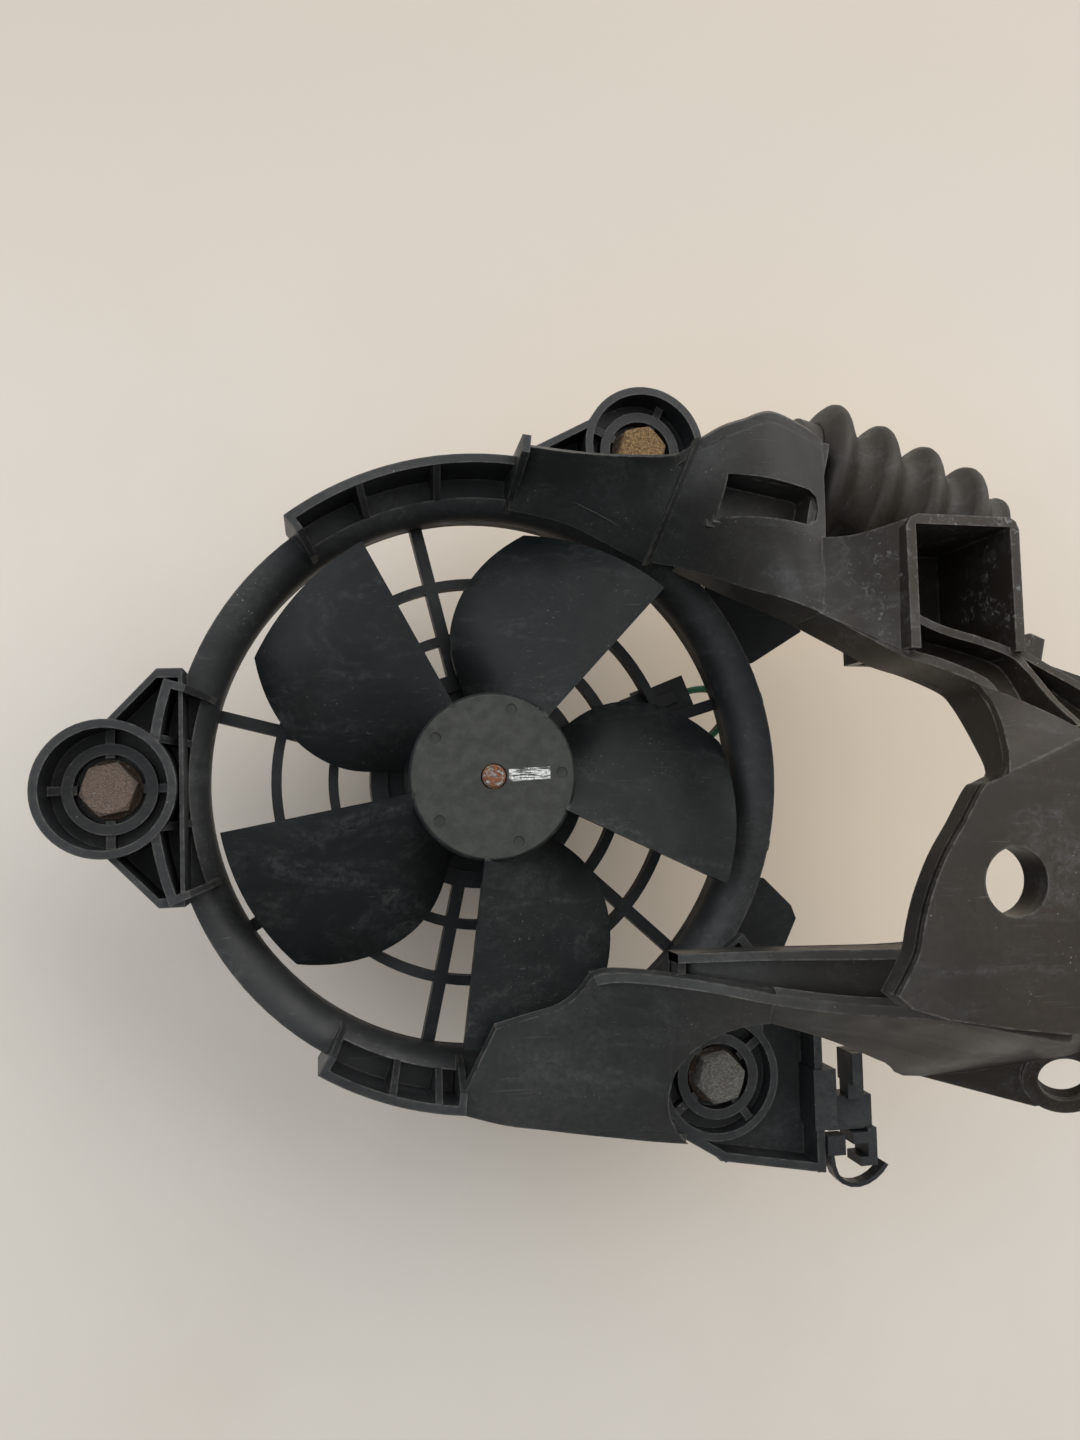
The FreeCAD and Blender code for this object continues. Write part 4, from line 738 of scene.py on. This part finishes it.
def carve(piece, *cutters):
    """Cut the cutters out of the piece."""
    for cutter in cutters:
        change = piece.modifiers.new("cut", "BOOLEAN")
        change.operation = "DIFFERENCE"
        change.solver = "EXACT"
        change.object = cutter
    graph = bpy.context.evaluated_depsgraph_get()
    result = bpy.data.meshes.new_from_object(piece.evaluated_get(graph))
    piece.modifiers.clear()
    piece.data = result
    return piece


def height_at(piece, x, y):
    """The height in millimetres of the piece's front face above a plan point."""
    bpy.context.view_layer.update()
    hit, place, *rest = piece.ray_cast((x * MM, y * MM, 0.2), (0, 0, -1))
    return place.z / MM if hit else 40.0


def discard(*pieces):
    for piece in pieces:
        bpy.data.objects.remove(piece)


print("cutting tools ready")

# %% [markdown]
# Last, the walls become one piece. Moulded edges are never sharp, so a small bevel rounds them, and the
# faces shade smoothly across any bend of less than `crease`.

# %% Join the walls
crease = math.radians(38)


def merged(name, pieces):
    """One object that holds the pieces' meshes, with softened edges and smooth faces."""
    shape = bmesh.new()
    for piece in pieces:
        shape.from_mesh(piece.data)
    mesh = bpy.data.meshes.new(name)
    shape.to_mesh(mesh)
    shape.free()
    discard(*pieces)
    mesh.polygons.foreach_set("use_smooth", [True] * len(mesh.polygons))
    mesh.set_sharp_from_angle(angle=crease)
    whole = bpy.data.objects.new(name, mesh)
    bpy.context.scene.collection.objects.link(whole)
    soft = whole.modifiers.new("soft edges", "BEVEL")
    soft.width = 0.45 * MM
    soft.segments = 2
    soft.limit_method = "ANGLE"
    soft.angle_limit = crease
    soft.use_clamp_overlap = True
    soft.harden_normals = True
    return whole


print("crease:", round(math.degrees(crease)), "degrees")

# %% [markdown]
# The upper side goes from the ring's throat up to the elbow: a concave wall, then the rounded elbow, which
# has a crease where they meet, then the cheek that leads to the socket. The elbow is hollow, and the boot
# sits on a short neck at its end. Its slot is cut through the sheet, and a skirt and a floor behind it make
# the recess.

# %% Build the wall, the elbow and its slot
hose_start = Vector((81.5, 79, 24))
hose_axis = Vector((0.963, -0.268, 0)).normalized()
bore_radius, neck_radius = 12.6, 15
sheet_depth = (0.7, 1.2, -2.0)
slot_floor = 35.5


def build_upper_side():
    wall_rows = [
        [(6.4, 72.6, 5.2), (7.3, 78.8, 14), (8, 83.6, 25.5)],
        [(22.3, 69.2, 5.9), (24.1, 75.2, 17), (25.4, 80.4, 31)],
        [(36.2, 62.6, 6.4), (40.4, 71.0, 23), (44.0, 79.6, 36)],
        [(45.4, 57.3, 9), (46.2, 68.5, 31.5), (49.5, 82.0, 42)],
    ]
    elbow_rows = [
        [(44.6, 57.8, 11.5), (45.0, 68.8, 33.6), (48.5, 81.6, 43.6)],
        [(49.6, 55.0, 19), (49.4, 69.2, 40), (52.8, 83.8, 46.0)],
        [(55, 52.0, 25), (54.6, 69.0, 43.8), (58, 85.5, 47)],
        [(62, 46.8, 34), (62.5, 66, 46.8), (64.5, 87.3, 48.3)],
        [(69, 42.0, 44), (71.5, 63, 47), (73, 85, 47)],
        [(75.4, 37.6, 50), (79.6, 60, 45), (79.3, 82.3, 45.4)],
    ]
    cheek_rows = [
        [(78.0, 57.5, 45.2), (77.0, 47, 47.2), (74.6, 37.8, 49.6)],
        [(83.5, 56.5, 53), (83.0, 44, 52.5), (83.1, 31.8, 56)],
        [(90.5, 57.6, 65), (90.5, 42, 64), (90.5, 26.2, 62.5)],
    ]
    slot_outline = [(54.4, 72.6), (75.0, 69.0), (77.0, 67.4), (77.6, 64.6), (76.8, 61.6), (74.6, 60.2),
                    (53.6, 63.6)]
    slot = prism(slot_outline, slot_floor - 5.5, 60)
    face = skin(elbow_rows, sheet_depth)
    rim = [(x, y, height_at(face, x, y) - 0.7) for x, y in slot_outline]
    rim.append(rim[0])
    bore = cylinder(bore_radius, hose_start - hose_axis * 12, hose_axis, 30)
    pieces = [
        skin(wall_rows, sheet_depth),
        carve(face, slot),
        hanging(rim, [z - slot_floor for x, y, z in rim], 1, steps=1, wall=1.2),
        prism([(52.0, 74.4), (79.0, 70.4), (79.0, 58.6), (51.8, 61.8)], 34.6, 36),
        skin(cheek_rows, (1.2, 0, -2.2)),
        hanging([row[0] for row in elbow_rows[1:]], [5, 9, 12, 16, 17], 1),
        hanging(smooth_row(elbow_rows[0], 6), [4] * 13, 1, steps=1, wall=1.4),
        hanging([wall_rows[2][2]] + [row[2] for row in elbow_rows], [17, 23, 27, 30, 34, 35, 35], -1),
        carve(hanging([(79.4, 82.0, 44.6), (73.6, 56.0, 44.6)], [34, 34], 1), bore),
        carve(cylinder(neck_radius, hose_start - hose_axis * 4.5, hose_axis, 12.3), bore),
    ]
    discard(slot, bore)
    return pieces


upper_side = build_upper_side()
print("upper side:", len(upper_side), "walls")

# %% [markdown]
# The channel leads from the elbow to the head plate. It is open to the front, with a wall on its inner
# side, a bent plate where it turns level with the head plate, and thin ribs across it. The moulding is cut
# off at `right_end`, because nothing is known of it beyond.

# %% Build the channel
right_end = 139.6


def build_channel_arm():
    inner_edge = [(73.5, 39.2, 48.5), (76, 37.1, 50), (83.1, 31.1, 56), (89.7, 25.4, 62), (95.4, 22.2, 67),
                  (100.7, 17.5, 74), (101.6, 13.5, 77.4), (99.3, 5, 84), (96.4, -2.2, 87.8),
                  (92.4, -4.4, 88.0)]
    floor_edges = [
        ((88.5, 26.4, 48), (90, 34, 48)),
        ((95.4, 22.2, 53), (104, 31, 51)),
        ((100.7, 17.5, 60), (115, 27, 54)),
        ((105.5, 13.5, 66), (121, 25.5, 57)),
        ((111.5, 8.0, 74), (129, 21.8, 63)),
        ((117, 4, 79), (right_end, 15, 72)),
    ]
    bend_edges = [
        ((100.5, 17.8, 73.8), (101.0, 13.3, 77.9)),
        ((105.5, 13.5, 81), (99.8, 9, 82.2)),
        ((111.5, 8.6, 87), (97.8, 2, 87.2)),
        ((116.5, 5.0, 88.8), (96.6, -3.2, 88.8)),
    ]
    pieces = [
        hanging(inner_edge, [15, 17, 17, 17, 17, 17, 16, 12, 7, 6], 1),
        strip(floor_edges, (0, 0, -thin)),
        strip(bend_edges, (0, 0, -thin)),
        hanging([(91.5, 35.3, 60), (100.2, 31.5, 60), (109.3, 28.4, 62), (115.7, 25.4, 64), (116.9, 21.5, 68),
                 (115.4, 13.8, 78), (114.9, 7.5, 87)], [12, 10, 10, 9, 9, 10, 13], 1, wall=2.0),
        hanging([(117.5, 26, 64), (120.5, 22.3, 68), (124.4, 16.3, 76), (129, 7, 88)], [9, 9, 10, 12], 1,
                wall=2.0),
        hanging([(116.5, 27.5, 61), (123.8, 25.3, 61), (130.9, 20.5, 68), (139.4, 14.4, 78)], [10, 8, 9, 9],
                -1),
        prism([(121, 24), (122.1, 31.4), (125.1, 32), (128.9, 30.5), (127.2, 23.5)], 53, 59),
    ]
    return pieces


channel_arm = build_channel_arm()
print("channel:", len(channel_arm), "walls")

# %% [markdown]
# The box socket holds a relay or a plug. It is a prism with rounded corners and a deep hollow, open to the
# front and towards the channel.

# %% Build the box socket
socket_front = 66


def build_socket():
    outline = [(89.2, 27.0), (89.2, 55.6), (90.4, 57.6), (92.4, 58.4), (116.0, 58.4), (117.6, 57.4),
               (118.4, 55.4), (118.4, 26.4)]
    hollow = [(91.6, 20.0), (91.6, 56.0), (116.0, 56.0), (116.0, 20.0)]
    block = prism(outline, 33, socket_front)
    room = prism(hollow, 35, socket_front + 14)
    carve(block, room)
    discard(room)
    return [block]


box_socket = build_socket()
print("socket front at", socket_front, "mm")

# %% [markdown]
# The head plate is the highest and flattest part of the moulding. A bolt of the vehicle goes through its
# hole, which has a collar behind it. The plate is thin, and a skirt round its edge makes it stiff and look
# thick.

# %% Build the head plate
plate_front = 89
plate_hole_place = (97.0, -25.0)
plate_hole_radius, collar_radius = 7.2, 10.2


def build_head_plate():
    left = smooth_row([(97, -2.4, 0), (92.5, -4.3, 0), (90.3, -5.6, 0), (85.9, -12.5, 0), (81.2, -19.5, 0),
                       (77.4, -27.5, 0), (75.4, -34, 0), (74.3, -38.5, 0), (71.8, -43.0, 0),
                       (69.3, -46.8, 0)], 4)
    right = [(72.5, -49.6), (80, -52.0), (94, -54.6), (109, -56.6), (138, -57.4), (right_end, -55.5),
             (right_end, 3.2), (116, 5.4)]
    outline = [(point.x, point.y) for point in left] + right
    edge = [(x, y, plate_front - 1.2) for x, y in outline]
    edge.append(edge[0])
    skirt = hanging(edge, [6] * len(edge), 1, steps=1)
    plate = prism(outline, plate_front - thin, plate_front)
    collar = cylinder(collar_radius, (*plate_hole_place, 81), (0, 0, 1), 6)
    hole = cylinder(plate_hole_radius, (*plate_hole_place, 60), (0, 0, 1), 60)
    carve(plate, hole)
    carve(collar, hole)
    discard(hole)
    return [plate, skirt, collar]


head_plate = build_head_plate()
print("head plate front at", plate_front, "mm")

# %% [markdown]
# The lower side is a sloping cover that runs from the ring up to the head plate. A round notch in it lets a
# socket wrench reach the lower right bolt. A steep facet goes down from the head plate's edge, and a floor
# and a rib stand behind them.

# %% Build the lower side
wrench_radius = 21.5
bolt_low_place = (65.4, -80.6)


def build_lower_side():
    ridge = [(-1, -62.5, 20), (8, -60, 21.5), (15, -57.8, 23), (19.5, -54, 25), (23, -49.6, 27),
             (30, -48.6, 31.5), (44.6, -49.6, 42), (59, -51.8, 53)]
    low = [(-10.5, -84, 13), (2, -88, 12.5), (12, -90, 12), (22, -92, 11.5), (33, -94, 11), (42, -95.5, 11),
           (54, -97, 11), (66, -97, 12)]
    facet_high = [(59, -51.8, 53), (70, -52.6, 62.5), (79.5, -52.6, 70), (89, -52.7, 78),
                  (109, -56.2, 87.6), (right_end, -57, 87.6)]
    facet_low = [(60.5, -59.7, 45), (73.6, -63.9, 44), (83.6, -68, 43), (91, -71.3, 42.5),
                 (101.5, -75.3, 42), (right_end, -66, 65)]
    access = cylinder(wrench_radius, (*bolt_low_place, -20), (0, 0, 1), 100)
    corner = prism([(60.5, -59.9), (60.5, -110), (90, -110), (90, -78), (66, -61)], -20, 80)
    cover = carve(strip(list(zip(ridge, low)), (0, 0.9, -thin)), access, corner)
    discard(access, corner)
    floor_near = [(40.5, -48.7, 33), (58, -51, 45), (73, -52, 58), (89, -54, 70), (100, -55.4, 77)]
    floor_far = [(40.5, -43.7, 33), (56.6, -42.2, 44), (71.4, -40.3, 61), (78.5, -39, 71), (92, -37, 80)]
    rib_top = [(40.5, -43.7, 38.5), (56.6, -42.2, 50), (71.4, -40.3, 68), (78.5, -39.0, 78), (92, -37, 86.4)]
    rib_foot = [(x, y, z - 2) for x, y, z in floor_far]
    return [
        cover,
        strip(list(zip(facet_high, facet_low)), (0, 1.6, -1.5)),
        hanging(low[:6] + [(50.5, -96.6, 11)], [13, 13, 13, 13, 13, 12, 12], 1),
        hanging(ridge[4:] + facet_high[1:5], [8, 8, 9, 9, 9, 9, 9, 8], -1),
        strip(list(zip(floor_near, floor_far)), (0, 0, -thin)),
        strip(list(zip(rib_top, rib_foot)), (0, -2.2, 0)),
        hanging([(40.5, -49.5, 37.5), (40.5, -43.8, 38.3)], [6, 6], -1, wall=2.0),
    ]


lower_side = build_lower_side()
print("lower side:", len(lower_side), "walls")

# %% [markdown]
# The slanted lug carries a second hole for the vehicle, with a raised ring round it. It is flat, so its
# outline is drawn in the plan and each point is lifted onto the lug's plane.

# %% Build the slanted lug
lug_normal = Vector((-0.389, -0.417, 0.822)).normalized()
lug_corner = Vector((101.9, -75.1, 42))
lug_hole_radius, lug_ring_radius = 6, 9.6


def on_lug(x, y):
    """The point of the lug's face above a point of the plan."""
    lift = lug_normal.x * (x - lug_corner.x) + lug_normal.y * (y - lug_corner.y)
    return Vector((x, y, lug_corner.z - lift / lug_normal.z))


def build_lug():
    plan = [(100.5, -75.3), (121.3, -65.6), (right_end, -65), (right_end, -79), (126, -82.2)]
    outline = [on_lug(x, y) for x, y in plan]
    plate = lofted("lug", [outline, [point - lug_normal * 3 for point in outline]])
    middle = on_lug(130, -74)
    ring = cylinder(lug_ring_radius, middle - lug_normal * 3, lug_normal, 4.2)
    hole = cylinder(lug_hole_radius, middle - lug_normal * 15, lug_normal, 30)
    carve(plate, hole)
    carve(ring, hole)
    discard(hole)
    return [plate, ring]


lug = build_lug()
print("lug hole:", 2 * lug_hole_radius, "mm wide")

# %% [markdown]
# The walls now become the one piece `bracket`. It belongs to the housing, and it stands in for the CAD
# node, which isn't shown.

# %% Put the bracket together
bracket = merged("bracket", upper_side + channel_arm + box_socket + head_plate + lower_side + lug)
bracket.data.materials.append(finishes["bracket_frame"])
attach(bracket, "housing")
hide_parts("bracket_frame")
print("bracket:", len(bracket.data.polygons), "faces")

# %% [markdown]
# ## The rubber boot
#
# The boot is a bellows that carries air to the elbow. The CAD one has straight-sided lobes, and this one
# has rounded folds and a cuff that grips the neck. A Screw modifier on half a profile would turn it too;
# here the rings of points are laid round the hose's axis straight away, which needs no tilted helper. It
# stays inside the CAD lobes.

# %% Turn the bellows
fold_count, fold_pitch, fold_depth = 4, 13.9, 6.4
first_peak, peak_taper = 21.4, 1.3
fold_shape = [(0.10, 0.62), (0.17, 0.22), (0.24, 0.04), (0.31, 0.0), (0.38, 0.05), (0.46, 0.2), (0.58, 0.5),
              (0.72, 0.83), (0.85, 1.0), (0.96, 0.93)]
boot_wall = 0.8


def boot_profile():
    """Distance along the axis and radius, down the outside and back up the inside."""
    outside = [(0.6, 15.5), (1.2, 16.2)]
    for i in range(fold_count):
        peak = first_peak - peak_taper * i
        for share, fall in fold_shape:
            outside.append((fold_pitch * (i + share), peak - fold_depth * fall))
    at, radius = outside[-1]
    outside += [(at + 1.2, radius), (at + 1.8, radius + 0.7), (at + 2.6, radius + 0.7)]
    return outside + [(at, radius - boot_wall) for at, radius in reversed(outside)]


def build_boot():
    profile = boot_profile()
    count = len(profile)
    side = Vector((0, 0, 1))
    other = hose_axis.cross(side)
    turns = 72
    points = []
    faces = []
    for k in range(turns):
        angle = 2 * math.pi * k / turns
        out = side * math.cos(angle) + other * math.sin(angle)
        points += [hose_start + hose_axis * at + out * radius for at, radius in profile]
        here, there = k * count, (k + 1) % turns * count
        for j in range(count):
            n = (j + 1) % count
            faces.append((here + j, here + n, there + n, there + j))
    boot = closed_mesh("boot", points, faces)
    boot.data.polygons.foreach_set("use_smooth", [True] * len(boot.data.polygons))
    boot.data.materials.append(finishes["bellows_boot"])
    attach(boot, "housing")
    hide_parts("bellows_boot")
    return boot


boot = build_boot()
print("boot:", len(boot.data.polygons), "faces")

# %% [markdown]
# ## The two leads
#
# They leave the plug, pass behind the ring and go back through the grommet to the brush holders. Each is a
# NURBS line with the CAD route's points as its control points: it bends smoothly near them, as a wire
# does, where a line straight through them would have kinks. `level` sets one wire above the other.

# %% Lay the leads
wire_radius = 0.95
plug_place = (54.5, 22.3, -17.6)
plug_turn = math.radians(22.0)
motor_level = -44.2


def build_lead(node, level):
    out = Vector((math.cos(plug_turn), math.sin(plug_turn), 0))
    plug = Vector(plug_place) + Vector((0, 0, level))
    side = 1 if level > 0 else -1
    start = plug + out * 4.1
    route = [
        start,
        start + out * 14.5,
        Vector((80, 19, -20 + level)),
        Vector((66, 6, -27 + level)),
        Vector((50, 1.2, -36 + level)),
        Vector((37, 0, motor_level + level)),
        Vector((20, 0, motor_level + level)),
        Vector((11.5, side * 6.5, motor_level + level * 0.6)),
        Vector((3.55, side * 13.0, motor_level + level * 0.6)),
    ]
    curve = bpy.data.curves.new(node + "_line", "CURVE")
    curve.dimensions = "3D"
    curve.bevel_depth = wire_radius * MM
    curve.bevel_resolution = 4
    curve.use_fill_caps = True
    spline = curve.splines.new("NURBS")
    spline.points.add(len(route) - 1)
    for point, place in zip(spline.points, route):
        point.co = (*(place * MM), 1.0)
    spline.order_u = 3
    spline.use_endpoint_u = True
    spline.resolution_u = 10
    curve.materials.append(finishes[node])
    wire = bpy.data.objects.new(node + "_wire", curve)
    bpy.context.scene.collection.objects.link(wire)
    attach(wire, "housing")
    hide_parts(node)
    return wire


build_lead("lead_green", 1.25)
build_lead("lead_brown", -1.25)
print("two leads laid")

# %% [markdown]
# ## Floor
#
# The fan lies above a pale table, which a plain plane does for. Its colour is warmer near the head plate,
# a painted pool of warm light, and darker at the far side, painted shade, as in the photograph, and that is
# three soft masks in one material. The floor is stage: it isn't part of the fan.

# %% Lay the floor
cream, warm_lit_cream = (0.69, 0.64, 0.57), (0.7, 0.575, 0.43)
shaded_far_cream, stain_cream = (0.53, 0.46, 0.38), (0.6, 0.54, 0.46)
floor_half_size = 3.0
floor_gap = 0.4


def make_floor():
    level = cad_box[0][2] - floor_gap * MM
    half = floor_half_size
    mesh = bpy.data.meshes.new("floor")
    corners = [(-half, -half, level), (half, -half, level), (half, half, level), (-half, half, level)]
    mesh.from_pydata(corners, [], [(0, 1, 2, 3)])
    floor = bpy.data.objects.new("floor", mesh)
    bpy.context.scene.collection.objects.link(floor)
    material, w, shader, place = start_material("pale table")
    spot = w.add("ShaderNodeVectorMath", {"operation": "DISTANCE"}, i0=place, i1=(110.0, 20.0, 0.0))
    # Painted pool of warm light round the head plate.
    warm = w.math("SUBTRACT", 1.0, w.ramp(spot.outputs["Value"], 30.0, 230.0))
    # Painted shade: darker towards the far side.
    far_side = w.ramp(w.add("ShaderNodeSeparateXYZ", None, Vector=place).outputs["Y"], 20.0, 330.0)
    stain = w.ramp(w.noise(place, 0.012, 5.0, 0.6), 0.35, 0.8)
    colour = w.mix(warm, rgba(cream), rgba(warm_lit_cream))
    colour = w.mix(w.product(far_side, 0.75), colour, rgba(shaded_far_cream))
    colour = w.mix(w.product(stain, 0.35), colour, rgba(stain_cream))
    w.link(colour, shader.inputs["Base Color"])
    shader.inputs["Roughness"].default_value = 0.6
    bump(w, shader, w.noise(place, 0.4, 4.0), 0.05, 0.3 * MM)
    mesh.materials.append(material)
    return floor


floor = make_floor()
print(floor.name, "at", round(cad_box[0][2] / MM, 1), "mm")

# %% [markdown]
# ## Backdrop
#
# The room round the fan is pale. The camera sees plain white beyond the floor. The light that reaches the
# fan is softer, and stronger from the window's side, so that the dark plastic has a bright and a dim side.
# A photograph of a room as a world picture would do this too, but it has to be stored with the file.

# %% Light the room
dim_side, window_gain = 0.26, 0.8


def make_backdrop():
    world = bpy.data.worlds.new("studio")
    bpy.context.scene.world = world
    world.use_nodes = True
    world.node_tree.nodes.clear()
    w = Wiring(world.node_tree)
    seen = w.add("ShaderNodeBackground", None, Color=rgba((1.0, 1.0, 1.0)), Strength=1.0)
    way = w.add("ShaderNodeSeparateXYZ", None, Vector=w.add("ShaderNodeTexCoord").outputs["Generated"])
    window_side = w.ramp(way.outputs["Y"], -0.7, 0.75)
    strength = w.math("MULTIPLY_ADD", window_side, window_gain, dim_side)
    lit = w.add("ShaderNodeBackground", None, Color=rgba((0.95, 0.97, 1.0)), Strength=strength)
    pick = w.add("ShaderNodeMixShader")
    w.link(w.add("ShaderNodeLightPath").outputs["Is Camera Ray"], pick.inputs[0])
    w.link(lit.outputs[0], pick.inputs[1])
    w.link(seen.outputs[0], pick.inputs[2])
    w.link(pick.outputs[0], w.add("ShaderNodeOutputWorld").inputs["Surface"])
    return world


world = make_backdrop()
print("backdrop:", world.name)

# %% [markdown]
# ## Camera
#
# The photograph was taken from about 29 cm in front of the bosses, slightly to the left of the axis. Its
# place, lens and axes were solved from points of the fan that can be seen in it, so that the render can be
# laid over it. Turning a camera by eye never gets as near.

# %% Place the camera
camera_place = (-0.04361, -0.00809, 0.28955)
lens = 27.05


def place_camera():
    data = bpy.data.cameras.new("camera")
    camera = bpy.data.objects.new("camera", data)
    bpy.context.scene.collection.objects.link(camera)
    right = Vector((0.9799, -0.0164, 0.1989)).normalized()
    back = Vector((-0.1995, -0.0805, 0.9766)).normalized()
    up = back.cross(right).normalized()
    right = up.cross(back).normalized()
    turn = Matrix((right, up, back)).transposed()
    camera.matrix_world = Matrix.Translation(camera_place) @ turn.to_4x4()
    data.sensor_fit = "AUTO"
    data.sensor_width = 36.0
    data.lens = lens
    data.clip_start = 0.01
    data.clip_end = 20.0
    bpy.context.scene.camera = camera
    return camera


camera = place_camera()
print("camera", [round(v / MM) for v in camera.location], "mm")

# %% [markdown]
# ## Light
#
# Daylight came from a large window beyond the top right of the picture, so the key light is broad and
# stands on that side. A weaker one fills from the left, and the pale room does the rest. A sun lamp would
# give hard shadows, which the photograph doesn't have.

# %% Soft studio light
def softbox(name, place, target, width, height, power, colour):
    data = bpy.data.lights.new(name, "AREA")
    data.shape = "RECTANGLE"
    data.size = width
    data.size_y = height
    data.energy = power
    data.color = colour
    light = bpy.data.objects.new(name, data)
    bpy.context.scene.collection.objects.link(light)
    light.location = place
    aim = Vector(target) - Vector(place)
    light.rotation_euler = aim.to_track_quat("-Z", "Y").to_euler()
    return light


softbox("window", (0.75, 0.9, 0.9), (0.0, 0.0, 0.0), 1.9, 1.6, 15.5, (1.0, 0.97, 0.93))
softbox("fill", (-0.9, 0.2, 0.8), (0.0, 0.0, 0.0), 1.0, 1.0, 4.0, (0.93, 0.96, 1.0))
scene = bpy.context.scene
scene.view_settings.view_transform = "Standard"
